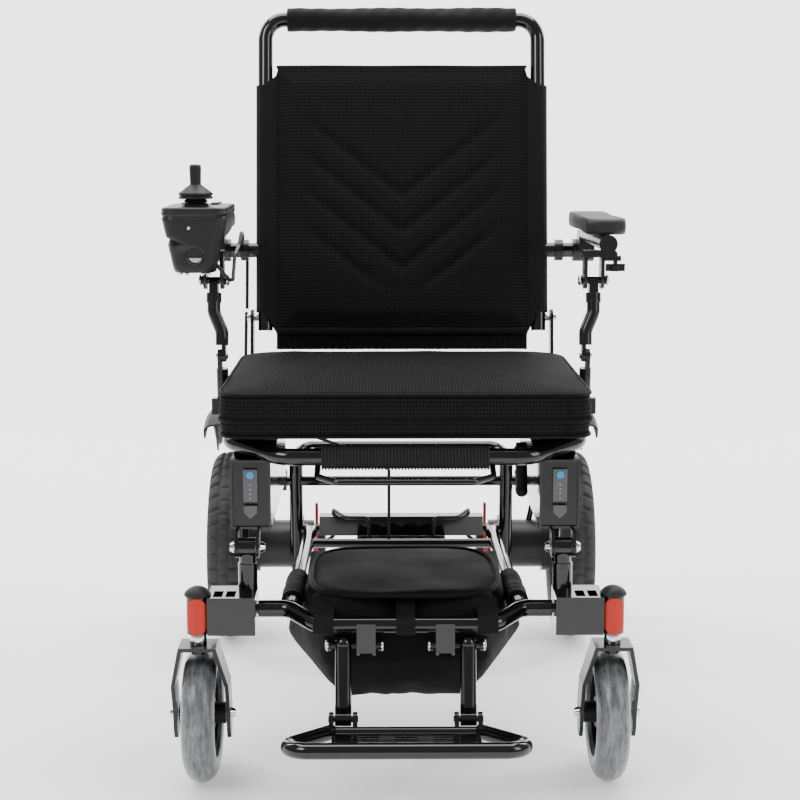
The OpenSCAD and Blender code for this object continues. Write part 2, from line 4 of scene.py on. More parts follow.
import bmesh
import bpy
import numpy as np
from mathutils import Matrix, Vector


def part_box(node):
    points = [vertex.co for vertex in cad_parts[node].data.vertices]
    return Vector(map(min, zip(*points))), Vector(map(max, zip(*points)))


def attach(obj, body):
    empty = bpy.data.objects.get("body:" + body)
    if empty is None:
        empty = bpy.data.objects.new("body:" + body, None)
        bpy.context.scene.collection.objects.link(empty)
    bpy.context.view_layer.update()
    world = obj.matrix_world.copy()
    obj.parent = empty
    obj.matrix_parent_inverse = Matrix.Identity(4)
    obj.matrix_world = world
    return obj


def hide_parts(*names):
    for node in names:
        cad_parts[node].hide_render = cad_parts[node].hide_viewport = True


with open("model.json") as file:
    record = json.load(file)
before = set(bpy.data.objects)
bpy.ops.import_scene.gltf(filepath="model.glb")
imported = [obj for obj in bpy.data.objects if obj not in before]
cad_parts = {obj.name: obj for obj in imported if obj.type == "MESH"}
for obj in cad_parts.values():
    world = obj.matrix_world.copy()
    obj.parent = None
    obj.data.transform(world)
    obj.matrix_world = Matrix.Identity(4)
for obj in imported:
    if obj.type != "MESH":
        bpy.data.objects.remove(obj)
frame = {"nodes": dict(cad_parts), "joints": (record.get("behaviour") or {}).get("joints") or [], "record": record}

nodes, record = frame["nodes"], frame["record"]
joints = {j["name"]: j for j in frame["joints"]}
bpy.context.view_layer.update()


# ---- Camera ----
# It stands a good two metres in front of the chair, a hand's breadth to the right of its middle, at the
# height of the joystick, and looks a little down.
def add(name, data):
    """Puts a new object with this data into the scene."""
    obj = bpy.data.objects.new(name, data)
    bpy.context.scene.collection.objects.link(obj)
    return obj


camera = add("camera", bpy.data.cameras.new("camera"))
camera.data.sensor_width = 36
camera.data.lens = 75.0
camera.location = (-0.025, -2.400, 0.832)
camera.rotation_euler = (math.radians(90 - 8.97), 0, math.radians(-0.5))
bpy.context.scene.camera = camera


# ---- Materials: the wrapper for shader maths ----
# Every finish below is a Principled surface whose colour, roughness and normal vary a little, from
# patterns on Object coordinates or on the piece's own UV map.
class Sock:
    """One output socket; arithmetic on it adds Math nodes."""

    def __init__(self, finish, socket):
        self.finish, self.socket = finish, socket

    def _math(self, operation, a, b):
        return self.finish.node("ShaderNodeMath", {"operation": operation}, {0: a, 1: b})

    def __add__(self, other): return self._math("ADD", self, other)
    def __radd__(self, other): return self._math("ADD", other, self)
    def __sub__(self, other): return self._math("SUBTRACT", self, other)
    def __rsub__(self, other): return self._math("SUBTRACT", other, self)
    def __mul__(self, other): return self._math("MULTIPLY", self, other)
    def __rmul__(self, other): return self._math("MULTIPLY", other, self)
    def __truediv__(self, other): return self._math("DIVIDE", self, other)


class Finish:
    """A material and its node tree."""

    def __init__(self, name, **constants):
        self.material = bpy.data.materials.new(name)
        self.material.use_nodes = True
        self.tree = self.material.node_tree
        self.bsdf = self.tree.nodes["Principled BSDF"]
        for socket, value in constants.items():
            self.bsdf.inputs[socket.replace("_", " ")].default_value = value

    def node(self, kind, settings=None, inputs=None, out=0):
        """A node of this type: its settings first, then the values or links of its sockets."""
        made = self.tree.nodes.new(kind)
        for key, value in (settings or {}).items():
            if key == "stops":
                ramp = made.color_ramp
                while len(ramp.elements) < len(value):
                    ramp.elements.new(1.0)
                for element, (place, shade) in zip(ramp.elements, value):
                    element.position = place
                    element.color = (*shade, 1) if isinstance(shade, tuple) else (shade, shade, shade, 1)
            else:
                setattr(made, key, value)
        for key, value in (inputs or {}).items():
            if isinstance(value, Sock):
                self.tree.links.new(value.socket, made.inputs[key])
            else:
                made.inputs[key].default_value = value
        return Sock(self, made.outputs[out])

    def feed(self, socket, value):
        self.tree.links.new(value.socket, self.bsdf.inputs[socket])

    def place(self, scale=(1, 1, 1), turn=(0, 0, 0), coords="Object"):
        """Object or UV coordinates, turned, then stretched."""
        base = self.node("ShaderNodeTexCoord", out=coords)
        return self.node("ShaderNodeMapping", {}, {"Vector": base, "Rotation": turn, "Scale": scale})

    def noise(self, scale, detail=3.0, rough=0.55, where=None, stretch=(1, 1, 1)):
        where = where or self.place(stretch)
        return self.node("ShaderNodeTexNoise", {}, {"Vector": where, "Scale": scale, "Detail": detail,
                                                    "Roughness": rough}, "Fac")

    def ramp(self, value, stops):
        return self.node("ShaderNodeValToRGB", {"stops": stops}, {"Fac": value}, "Color")

    def span(self, value, lo, hi, to_lo, to_hi):
        return self.node("ShaderNodeMapRange", {}, {"Value": value, "From Min": lo, "From Max": hi,
                                                    "To Min": to_lo, "To Max": to_hi}, "Result")

    def mix(self, amount, a, b):
        """Colour a where amount is 0, b where it is 1."""
        made = self.tree.nodes.new("ShaderNodeMix")
        made.data_type = "RGBA"
        for key, value in ((0, amount), (6, a), (7, b)):
            if isinstance(value, Sock):
                self.tree.links.new(value.socket, made.inputs[key])
            else:
                made.inputs[key].default_value = value
        return Sock(self, made.outputs[2])

    def bump(self, height, strength, distance=0.001, normal=None):
        inputs = {"Height": height, "Strength": strength, "Distance": distance}
        if normal is not None:
            inputs["Normal"] = normal
        return self.node("ShaderNodeBump", {}, inputs, "Normal")


def grey(v, a=1.0):
    return (v, v, v * 1.03, a)


def wear(finish, base, rough, spread=0.06, dust=0.02):
    """Faint cloudy variation of colour and roughness, as on any handled part."""
    cloud = finish.noise(9.0, 4.0)
    fine = finish.noise(160.0, 2.0)
    tint = tuple(min(1.0, c + dust) for c in base[:3]) + (1.0,)
    finish.feed("Base Color", finish.mix(finish.span(cloud, 0.45, 0.8, 0.0, 0.35), base, tint))
    finish.feed("Roughness", finish.span(cloud * 0.7 + fine * 0.3, 0.3, 0.7, rough - spread, rough + spread))
    return fine


# ---- Painted tubes and brackets ----
# Steel tube and plate with a glossy black powder coat: a faint orange peel in the frame's coat, and a
# satin coat on pressed brackets.
def powder_coat(name, base, rough, peel, coat=0.0):
    finish = Finish(name, Metallic=0.0, Coat_Weight=coat, Coat_Roughness=0.06, Specular_IOR_Level=0.35)
    wear(finish, base, rough, 0.035, 0.006)
    finish.feed("Normal", finish.bump(finish.noise(420.0, 2.0), peel, 0.0004))
    return finish.material


gloss_paint = powder_coat("gloss black powder coat", grey(0.0035), 0.13, 0.08, 0.35)
satin_paint = powder_coat("satin black powder coat", grey(0.0055), 0.27, 0.2, 0.1)
shell_paint = powder_coat("glossy battery shell", grey(0.003), 0.11, 0.05, 0.35)
red_paint = powder_coat("red lever paint", (0.50, 0.018, 0.012, 1), 0.32, 0.2, 0.3)


# ---- Bright metal ----
# Zinc-plated and chromed bolts, spindles and axles, turned, with faint tool rings.
def bright_metal(name, base, rough, streak):
    finish = Finish(name, Metallic=1.0)
    rings = finish.noise(300.0, 2.0, stretch=(6, 1, 1))
    cloud = finish.noise(25.0)
    finish.feed("Base Color", finish.mix(finish.span(cloud, 0.4, 0.75, 0, 0.5), base,
                                         tuple(c * 0.8 for c in base[:3]) + (1,)))
    finish.feed("Roughness", finish.span(rings * 0.5 + cloud * 0.5, 0.3, 0.7, rough - 0.05, rough + 0.09))
    finish.feed("Normal", finish.bump(rings, streak, 0.0002))
    return finish.material


chrome = bright_metal("chromed bolt", (0.72, 0.73, 0.75, 1), 0.14, 0.08)
steel = bright_metal("turned steel", (0.50, 0.50, 0.51, 1), 0.28, 0.2)


# ---- Moulded plastics and rubber ----
# ABS and nylon housings with a spark-eroded grain, soft grip rubber, and gloss parts for keys and lenses.
def moulded(name, base, rough, grain, scale=900.0, **more):
    finish = Finish(name, **{"Specular_IOR_Level": 0.25, **more})
    wear(finish, base, rough, 0.05, 0.008)
    finish.feed("Normal", finish.bump(finish.noise(scale, 2.0), grain, 0.0004))
    return finish.material


grain_plastic = moulded("grained black plastic", grey(0.010), 0.46, 0.35)
pod_plastic = moulded("pod housing plastic", grey(0.014), 0.38, 0.28)
fender_plastic = moulded("fender plastic", grey(0.010), 0.5, 0.3)
grip_rubber = moulded("grip rubber", grey(0.012), 0.55, 0.3, 700.0)
pad_skin = moulded("moulded foam skin", grey(0.016), 0.5, 0.5, 480.0)
cable_jacket = moulded("cable jacket", grey(0.010), 0.42, 0.15, 600.0)
panel_gloss = moulded("glossy key panel", grey(0.008), 0.16, 0.05, 700.0, Coat_Weight=0.4)
key_blue = moulded("blue key", (0.015, 0.23, 0.42, 1), 0.25, 0.05, 700.0, Coat_Weight=0.5)
key_green = moulded("green-black key", (0.012, 0.03, 0.014, 1), 0.28, 0.05, 700.0, Coat_Weight=0.4)
key_amber = moulded("amber-black key", (0.03, 0.02, 0.01, 1), 0.28, 0.05, 700.0, Coat_Weight=0.4)
key_grey = moulded("grey key", (0.26, 0.27, 0.28, 1), 0.3, 0.08, 700.0, Coat_Weight=0.3)
motor_case = moulded("cast motor case", grey(0.030), 0.36, 0.4, 500.0, Metallic=0.4)


# ---- Reflector ----
# A red moulded lens with small prisms behind a clear face. Its faint emission is a painted glow, brightest in each
# prism's middle.
def reflector_lens():
    finish = Finish("red reflector with painted glow", Coat_Weight=0.15, Coat_Roughness=0.1, Specular_IOR_Level=0.2,
                    Emission_Strength=0.04)
    where = finish.place((420, 420, 420))
    cells = finish.node("ShaderNodeTexVoronoi", {"distance": "CHEBYCHEV"}, {"Vector": where, "Scale": 1.0,
                                                                           "Randomness": 0.0}, "Distance")
    finish.feed("Base Color", finish.ramp(cells, [(0.0, (0.55, 0.026, 0.010)), (0.6, (0.42, 0.016, 0.006))]))
    # painted glow: the emission colour follows the prism cells
    finish.feed("Emission Color", finish.ramp(cells, [(0.0, (1.0, 0.10, 0.04)), (0.6, (0.6, 0.02, 0.01))]))
    finish.feed("Normal", finish.bump(cells, 0.35, 0.0006))
    finish.bsdf.inputs["Roughness"].default_value = 0.22
    return finish.material


red_lens = reflector_lens()


# ---- Caster tyre ----
# Smoke-grey cast polyurethane: milky, with flow streaks round the tyre and scuffs on the tread.
def caster_polyurethane(name, centre):
    finish = Finish(name, Coat_Weight=0.25, Coat_Roughness=0.2, Specular_IOR_Level=0.5,
                    Subsurface_Weight=0.15, Subsurface_Radius=(0.01, 0.01, 0.01))
    place = finish.node("ShaderNodeMapping", {}, {"Vector": finish.node("ShaderNodeTexCoord", out="Object"),
                                                  "Location": tuple(-c for c in centre)})
    parts = finish.tree.nodes.new("ShaderNodeSeparateXYZ")
    finish.tree.links.new(place.socket, parts.inputs[0])
    x, y, z = (Sock(finish, parts.outputs[i]) for i in range(3))
    radius = finish.node("ShaderNodeMath", {"operation": "SQRT"}, {0: y * y + z * z})
    angle = finish.node("ShaderNodeMath", {"operation": "ARCTAN2"}, {0: y, 1: z})
    around = finish.node("ShaderNodeCombineXYZ", {}, {0: x * 260.0, 1: radius * 140.0, 2: angle * 3.0})
    streaks = finish.node("ShaderNodeTexNoise", {}, {"Vector": around, "Scale": 1.0, "Detail": 6.0,
                                                     "Roughness": 0.7}, "Fac")
    cloud = finish.noise(45.0, 5.0, 0.65)
    both = streaks * 0.65 + cloud * 0.35
    finish.feed("Base Color", finish.ramp(both, [(0.34, (0.035, 0.038, 0.040)), (0.5, (0.115, 0.122, 0.124)),
                                                 (0.66, (0.26, 0.27, 0.27))]))
    finish.feed("Roughness", finish.span(both, 0.3, 0.7, 0.22, 0.44))
    finish.feed("Normal", finish.bump(streaks, 0.25, 0.0008))
    return finish.material


# ---- Cloth: spacer mesh, woven nylon and binding tape ----
# Seat and back are covered in black spacer mesh with small round eyes; the bag and the back's rear are
# woven nylon; edges are bound with ribbed tape.
def spacer_mesh(pitch=0.0042, tone=grey(0.012)):
    finish = Finish("spacer mesh", Specular_IOR_Level=0.04)
    where = finish.place((1 / pitch, 1 / (pitch * 1.15), 1), coords="UV")
    eyes = finish.node("ShaderNodeTexVoronoi", {}, {"Vector": where, "Scale": 1.0, "Randomness": 0.12},
                       "Distance")
    threads = finish.noise(1800.0, 2.0)
    cloud = finish.noise(7.0, 3.0)
    # painted shade: each eye of the mesh is coloured near-black, standing in for the shade inside the hole
    hole = finish.span(eyes, 0.18, 0.42, 1.0, 0.0)
    eye_shaded_tone = finish.mix(hole, tone, grey(0.0012))
    faded = tuple(c * 0.7 for c in tone[:3]) + (1,)
    finish.feed("Base Color", finish.mix(finish.span(cloud, 0.4, 0.8, 0.0, 0.4), eye_shaded_tone, faded))
    finish.feed("Roughness", finish.span(hole + threads * 0.3, 0.0, 1.3, 0.62, 0.9))
    finish.feed("Normal", finish.bump(eyes + threads * 0.12, 0.75, 0.0012))
    return finish.material


def woven(name, base, pitch=0.0016, relief=0.5, rough=0.62):
    finish = Finish(name, Specular_IOR_Level=0.07)
    where = finish.place((1 / pitch, 1 / pitch, 1 / pitch), coords="UV")
    warp = finish.node("ShaderNodeTexWave", {"bands_direction": "X"}, {"Vector": where, "Scale": 0.5}, "Fac")
    weft = finish.node("ShaderNodeTexWave", {"bands_direction": "Y"}, {"Vector": where, "Scale": 0.5}, "Fac")
    weave = finish.node("ShaderNodeMath", {"operation": "MAXIMUM"}, {0: warp, 1: weft})
    cloud = finish.noise(14.0, 4.0)
    finish.feed("Base Color", finish.mix(finish.span(weave * 0.6 + cloud * 0.4, 0.2, 0.9, 0.0, 1.0),
                                         tuple(c * 0.55 for c in base[:3]) + (1,), base))
    finish.feed("Roughness", finish.span(cloud, 0.3, 0.7, rough - 0.06, rough + 0.1))
    finish.feed("Normal", finish.bump(weave + cloud * 0.2, relief, 0.0006))
    return finish.material


mesh_cloth = spacer_mesh()
nylon = woven("woven nylon", grey(0.010))
tape = woven("binding tape", grey(0.010), 0.0011, 0.6, 0.55)
webbing = woven("strap webbing", grey(0.012), 0.0022, 0.7, 0.5)


# ---- Battery cases, and the finish of every CAD node ----
# The batteries are gloss black; what stands proud of their front, the window strip and the pull tab, is
# grey. Each material slot of the record then takes its finish.
battery_front_y = -0.3106


def gauge_face():
    """Grey ahead of the batteries' front and black behind it, blended over about a millimetre."""
    finish = Finish("battery case and gauge", Specular_IOR_Level=0.35, Coat_Weight=0.2, Coat_Roughness=0.08)
    parts = finish.tree.nodes.new("ShaderNodeSeparateXYZ")
    finish.tree.links.new(finish.node("ShaderNodeTexCoord", out="Object").socket, parts.inputs[0])
    proud = finish.span(Sock(finish, parts.outputs[1]), battery_front_y - 0.0006, battery_front_y + 0.0006, 1.0, 0.0)
    cloud = finish.noise(60.0, 4.0)
    finish.feed("Base Color", finish.mix(proud, grey(0.004), grey(0.075)))
    finish.feed("Roughness", finish.span(cloud, 0.3, 0.7, 0.16, 0.3))
    finish.feed("Normal", finish.bump(finish.noise(700.0, 2.0), 0.1, 0.0004))
    return finish.material


gauge_plastic = gauge_face()
finishes = {
    "frame_black": gloss_paint, "bracket_black": satin_paint, "bolt_chrome": chrome, "grip_rubber": grip_rubber,
    "mesh_fabric": mesh_cloth, "bag_nylon": nylon, "battery_shell": shell_paint, "battery_bezel": gauge_plastic,
    "blue_button": key_blue, "cable_black": cable_jacket, "cap_plastic": grain_plastic,
    "reflector_red": red_lens, "hub_black": grain_plastic, "motor_grey": motor_case,
    "fender_grey": fender_plastic, "controller_grey": grain_plastic, "lever_red": red_paint,
    "rim_black": satin_paint, "pad_pu": pad_skin, "pod_plastic": pod_plastic, "panel_plastic": panel_gloss,
    "steel_inner": steel, "stick_plastic": grain_plastic, "button_green": key_green,
    "button_amber": key_amber, "button_grey": key_grey,
}
for part in record["subparts"]:
    slot = part["material_slot"]
    if slot in finishes:
        mesh = nodes[part["node"]].data
        mesh.materials.clear()
        mesh.materials.append(finishes[slot])
for side in ("left", "right"):
    low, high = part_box(f"caster_tyre_{side}")
    middle = [(a + b) / 2 for a, b in zip(low, high)]
    mesh = nodes[f"caster_tyre_{side}"].data
    mesh.materials.clear()
    mesh.materials.append(caster_polyurethane(f"smoke grey polyurethane {side}", middle))


# ---- Seat cushion ----
# A foam block in a sewn cover: spacer mesh on top, a mesh border round the side, and a zip under a
# piping line. It lies loose on the sling. Its puckers and soft folds are modelled.
def build(name, verts, faces, material, uv=None, smooth=True):
    """A mesh object from arrays, with its faces pointing outwards."""
    mesh = bpy.data.meshes.new(name)
    mesh.from_pydata([tuple(v) for v in verts], [], [tuple(int(i) for i in f) for f in faces])
    mesh.materials.append(material)
    if uv is not None:
        layer = mesh.uv_layers.new(name="UVMap")
        loops = np.zeros(len(mesh.loops), dtype=np.int32)
        mesh.loops.foreach_get("vertex_index", loops)
        layer.data.foreach_set("uv", np.asarray(uv, dtype=np.float32)[loops].ravel())
    if smooth:
        mesh.polygons.foreach_set("use_smooth", [True] * len(mesh.polygons))
    mesh.update()
    return add(name, mesh)


def grid_faces(rows, cols, wrap_rows=False, wrap_cols=False):
    """Quads of a rows x cols grid of points, joined round either way if asked."""
    i = np.arange(rows if wrap_rows else rows - 1)
    j = np.arange(cols if wrap_cols else cols - 1)
    i, j = np.meshgrid(i, j, indexing="ij")
    k, m = (i + 1) % rows, (j + 1) % cols
    return np.stack([i * cols + j, k * cols + j, k * cols + m, i * cols + m], -1).reshape(-1, 4)


def smooth_step(t):
    t = np.clip(t, 0, 1)
    return t * t * (3 - 2 * t)


def capped_faces(rows, cols):
    """Faces of a tube made of rings of cols points, closed by one polygon at each end."""
    quads = [tuple(f) for f in grid_faces(rows, cols, False, True)]
    return quads + [tuple(range(cols))[::-1], tuple(range((rows - 1) * cols, rows * cols))]


def sweep(path, profile_r, sides=10, closed=False, flat=1.0, up=(0, 0, 1)):
    """Points and faces of a tube of radius profile_r along a path. Each ring is perpendicular to the path and
    flattened by flat along the up direction; open ends are capped."""
    path = np.asarray(path, float)
    if closed:
        tangent = np.roll(path, -1, 0) - np.roll(path, 1, 0)
    else:
        tangent = np.gradient(path, axis=0)
    tangent /= np.linalg.norm(tangent, axis=1, keepdims=True)
    up = np.asarray(up, float)
    across = np.cross(tangent, up)
    across /= np.maximum(np.linalg.norm(across, axis=1, keepdims=True), 1e-9)
    above = np.cross(across, tangent)
    turn = np.linspace(0, 2 * np.pi, sides, endpoint=False)
    r = np.broadcast_to(np.asarray(profile_r, float), (len(path),))[:, None, None]
    cos, sin = np.cos(turn)[None, :, None], np.sin(turn)[None, :, None]
    ring = across[:, None, :] * cos + above[:, None, :] * sin * flat
    verts = (path[:, None, :] + ring * r).reshape(-1, 3)
    return verts, grid_faces(len(path), sides, True, True) if closed else capped_faces(len(path), sides)


def fix_normals(obj):
    """Turns every face of a closed piece outwards."""
    bm = bmesh.new()
    bm.from_mesh(obj.data)
    bmesh.ops.remove_doubles(bm, verts=bm.verts, dist=1e-6)
    bmesh.ops.recalc_face_normals(bm, faces=bm.faces)
    bm.to_mesh(obj.data)
    bm.free()


def cushion_outline(count, half_x, y0, y1, r, rear_r=None):
    """Rounded rectangle of count points, anticlockwise, spaced evenly along its length, and that length. rear_r
    rounds the two corners at y1."""
    q = rear_r or r
    corners = [(half_x - r, y0 + r, r, -90), (half_x - q, y1 - q, q, 0), (-half_x + q, y1 - q, q, 90),
               (-half_x + r, y0 + r, r, 180)]
    turn = np.radians(np.linspace(0, 90, 24))
    dense = np.concatenate([[cx, cy] + c * np.stack([np.cos(np.radians(a) + turn), np.sin(np.radians(a) + turn)], 1)
                            for cx, cy, c, a in corners])
    dense = np.vstack([dense, dense[:1]])
    length = np.concatenate([[0], np.cumsum(np.linalg.norm(np.diff(dense, axis=0), axis=1))])
    at = np.linspace(0, length[-1], count, endpoint=False)
    return np.stack([np.interp(at, length, dense[:, i]) for i in range(2)], 1), length[-1]


low, high = (np.array(c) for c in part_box("seat_cushion"))
cushion_x, cushion_y0, cushion_y1 = high[0], low[1], high[1]
cushion_z0, cushion_z1 = low[2], high[2]
around, rings = 240, 56
rim_at, foot_at = 0.40, 0.60  # shares of the way at which a ring reaches the top's rim and the side's foot
roll, tuck, waist = 0.0075, 0.006, 0.004  # how far the rim rolls over, the base tucks in, the side bulges
outline, girth = cushion_outline(around, cushion_x, cushion_y0, cushion_y1, 0.028, 0.062)
middle = np.array([0, (cushion_y0 + cushion_y1) / 2])
# a ring's place from the middle of the top (0) over the rim to the middle of the base (1)
s = np.linspace(0, 1, rings)
on_top, on_base = s < rim_at, s > foot_at
top, base = smooth_step(s / rim_at), smooth_step((s - foot_at) / (1 - foot_at))
side_part = np.clip((s - rim_at) / (foot_at - rim_at), 0, 1)
inset = np.where(on_top, 1 - top, np.where(on_base, base, 0))
bulge = np.sin(np.pi * side_part) * waist
z_side = cushion_z1 - roll - (cushion_z1 - cushion_z0 - roll - tuck) * side_part
z_ring = np.where(on_top, cushion_z1 - roll * top ** 6,
                  np.where(on_base, cushion_z0 + tuck * (1 - base) ** 4, z_side))
crown = 0.004 * (1 - top) * on_top
points = middle + (outline - middle)[None] * (1 - inset * 0.999)[:, None, None]
out_dir = (outline - middle) / np.linalg.norm(outline - middle, axis=1, keepdims=True)
points = points + out_dir[None] * (bulge[:, None, None] - waist * (np.abs(inset) < 0.02)[:, None, None])
z_all = np.broadcast_to((z_ring + crown)[:, None], (rings, around)).copy()
# soft dents where the cover is loose: shallow, wide ripples that fade at the rim
px, py = points[..., 0], points[..., 1]
wander = np.sin(px * 31 + 1.3) * np.sin(py * 27 + 0.4) + 0.6 * np.sin(px * 61 - py * 23)
z_all += 0.0011 * wander * (s < rim_at - 0.02)[:, None] * (1 - top)[:, None] ** 0.3
verts = np.concatenate([points, z_all[..., None]], -1).reshape(-1, 3)
along = np.linspace(0, girth, around, endpoint=False)
uv_side = np.stack(np.broadcast_arrays(along, z_ring[:, None]), -1)
uv = np.where((on_top | on_base)[:, None, None], points, uv_side).reshape(-1, 2)
faces = grid_faces(rings, around, False, True)
cushion = build("cushion_cover", verts, faces, mesh_cloth, uv)
fix_normals(cushion)
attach(cushion, "seat")
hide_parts("seat_cushion")


def ring_line(z, out, count=240):
    """The cushion's outline at a height, pushed out by out."""
    grow = out - waist
    shape, _ = cushion_outline(count, cushion_x + grow, cushion_y0 - grow, cushion_y1 + grow, 0.026, 0.060)
    return np.column_stack([shape, np.full(count, z)])


def trim(name, verts, faces, material, body):
    """A narrow piece, such as a cord or a binding, that rides on body."""
    piece = build(name, verts, faces, material, uv=np.stack([verts[:, 0] + verts[:, 1], verts[:, 2]], 1))
    fix_normals(piece)
    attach(piece, body)
    return piece


for label, z, r, out in (("upper_piping", cushion_z1 - 0.0085, 0.0024, 0.0022),
                         ("zip_cord", cushion_z0 + 0.026, 0.0020, 0.0048),
                         ("lower_piping", cushion_z0 + 0.006, 0.0022, 0.0022)):
    piping = trim(label, *sweep(ring_line(z, out), r, 8, True), tape, "seat")


# ---- Backrest cover ----
# A padded panel of spacer mesh sewn between two nylon sleeves that are pulled down over the backrest
# tubes. Soft V-shaped channels are stitched into it, its top and bottom edges are bound with tape, and a
# gathered nylon band closes the gap down to the cushion.
hinge = np.array(joints["backrest_fold"]["pos_m"])
lean = math.radians(10)
tube_x, sleeve_r, panel_x = 0.207, 0.0142, 0.191
back_top, sleeve_top, back_foot = 0.381, 0.352, -0.022
across_panel, round_sleeve = 150, 16  # points across the panel and round each sleeve


def on_back(x, d, n):
    """Place of a point at x, d up the backrest tube from its hinge, and n in front of the tubes."""
    x, d, n = np.broadcast_arrays(x, d, n)
    return np.stack([x, hinge[1] + d * math.sin(lean) - n * math.cos(lean),
                     hinge[2] + d * math.cos(lean) + n * math.sin(lean)], -1)


panel = np.linspace(-panel_x, panel_x, across_panel)
turn = np.linspace(math.pi / 2, -math.pi / 2, round_sleeve)
right_x, sleeve_n = tube_x + sleeve_r * np.cos(turn), sleeve_r * np.sin(turn)
section_x = np.concatenate([panel, right_x, panel[::-1], -right_x])
section_n = np.concatenate([np.full(across_panel, 0.0105), sleeve_n, np.full(across_panel, -0.0085), -sleeve_n])
is_front = np.arange(len(section_x)) < across_panel
rows = 170
v = np.linspace(0, 1, rows)[:, None]
side_drop = smooth_step((np.abs(section_x) - panel_x + 0.006) / 0.012)
top_line = back_top - (back_top - sleeve_top) * side_drop
foot_line = back_foot + 0.030 * smooth_step((np.abs(section_x) - panel_x - 0.004) / 0.01)
d = foot_line + v * (top_line - foot_line)
x = np.broadcast_to(section_x, d.shape)
chevron = d - 0.80 * np.abs(x)
channels = sum(np.exp(-((chevron - at) / 0.0095) ** 2) for at in (0.020, 0.075, 0.130, 0.185))
within = (smooth_step((0.165 - np.abs(x)) / 0.05) * smooth_step((d - 0.03) / 0.05)
          * smooth_step((0.335 - d) / 0.06))
edge = np.minimum(np.minimum(panel_x + 0.002 - np.abs(x), back_top - d), d - back_foot)
plump = 0.0075 * smooth_step(edge / 0.035)
creases = 0.0006 * np.sin(x * 190 + 6 * d) * smooth_step((0.07 - d) / 0.05)
n = section_n + is_front * (plump - 0.0042 * channels * within + creases)
n = n - is_front * 0.0035 * np.exp(-((np.abs(x) - panel_x + 0.001) / 0.004) ** 2)
back_verts = on_back(x, d, n)
back_uv = np.stack([x, d], -1).reshape(-1, 2)
cols = len(section_x)
back_faces = [tuple(f) for f in grid_faces(rows, cols, False, True)]
# close the top and the foot: front edge to rear edge, and the sleeves' mouths
rear_start, second_sleeve = across_panel + round_sleeve, 2 * across_panel + round_sleeve
for row in (0, rows - 1):
    ring = np.arange(row * cols, (row + 1) * cols)
    front, rear = ring[:across_panel], ring[rear_start:second_sleeve][::-1]
    back_faces += [(front[i], front[i + 1], rear[i + 1], rear[i]) for i in range(across_panel - 1)]
    for start, far in ((across_panel, ring[rear_start]), (second_sleeve, ring[0])):
        back_faces.append((ring[start - 1], *ring[start:start + round_sleeve], far))
cover = build("backrest_cover", back_verts.reshape(-1, 3), back_faces, mesh_cloth, back_uv)
cover.data.materials.append(nylon)
middles = np.zeros(len(cover.data.polygons) * 3)
cover.data.polygons.foreach_get("center", middles)
middles = middles.reshape(-1, 3)
ahead = -(middles[:, 1] - hinge[1]) * math.cos(lean) + (middles[:, 2] - hinge[2]) * math.sin(lean)
cloth_back = (np.abs(middles[:, 0]) > panel_x + 0.001) | (ahead < 0.006)
cover.data.polygons.foreach_set("material_index", cloth_back.astype(np.int32))
fix_normals(cover)
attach(cover, "backrest")
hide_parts("backrest_fabric")

u = np.linspace(0.001 - panel_x, panel_x - 0.001, 90)
up_the_tubes = (0, math.sin(lean), math.cos(lean))
for label, d_at, n_at, r, flat in (("back_top_binding", back_top + 0.0005, 0.0005, 0.0095, 0.22),
                                   ("back_foot_binding", back_foot + 0.002, 0.0035, 0.0105, 0.55)):
    path = on_back(u, np.full_like(u, d_at), n_at + 0.0012 * np.sin(u * 40))
    piece = trim(label, *sweep(path, r, 12, False, flat, up_the_tubes), tape, "backrest")
# the gathered band: a front sheet and a rear sheet of pleats, joined all round
pleats, drops = 300, 18
u = np.linspace(0.001 - panel_x, panel_x - 0.001, pleats)[None, :]
w = np.linspace(0, 1, drops)[:, None]
gather = 0.0013 * np.sin(u * 620 + 2 * np.sin(u * 37)) * (0.3 + w) + 0.001 * np.sin(u * 90)
front_side = on_back(u, -0.020 - 0.028 * w, 0.001 + gather)
rear_side = on_back(u, -0.020 - 0.028 * w, -0.004 + gather)
verts = np.concatenate([front_side, rear_side[::-1]]).reshape(-1, 3)
uv = np.stack(np.broadcast_arrays(u, np.linspace(0, 0.056, 2 * drops)[:, None]), -1).reshape(-1, 2)
faces = [tuple(f) for f in grid_faces(2 * drops, pleats, True, False)]
faces += [tuple(range(0, 2 * drops * pleats, pleats)), tuple(range(pleats - 1, 2 * drops * pleats, pleats))]
band = build("back_lower_band", verts, faces, nylon, uv)
fix_normals(band)
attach(band, "backrest")


# ---- Push-bar sleeve and front grip ----
# The push bar wears a sewn foam sleeve, a little lumpy, with a seam underneath; the front carrying bar
# has a moulded rubber sleeve with fine ribs.
bar_skin = 0.0112  # just outside the 22 mm bars


def bar_sleeve(name, half, place_of, radius_of, material, around, count):
    """A sleeve about a straight bar: radius_of(x, angle) gives its skin, and both ends turn in to the bar."""
    x = np.linspace(-half, half, count)[:, None]
    angle = np.linspace(0, 2 * np.pi, around, endpoint=False)[None, :]
    r = radius_of(x, angle)
    r[0], r[-1] = bar_skin, bar_skin
    r[1], r[-2] = r[1] * 0.93, r[-2] * 0.93
    x = np.broadcast_to(x, r.shape).copy()
    x[0], x[1], x[-1], x[-2] = -half, -half, half, half
    verts = place_of(x, r * np.cos(angle), r * np.sin(angle)).reshape(-1, 3)
    uv = np.stack([x, np.broadcast_to(angle * 0.017, x.shape)], -1).reshape(-1, 2)
    piece = build(name, verts, grid_faces(count, around, False, True), material, uv)
    fix_normals(piece)
    return piece


def lumpy_foam(x, t):
    """17.6 mm, with slow and quick waves along the bar and a faint squareness round it."""
    return (0.0176 + 0.0005 * np.sin(x * 43 + t * 2) + 0.00035 * np.sin(x * 210 - 3 * t)
            + 0.0004 * np.cos(4 * t + x * 12))


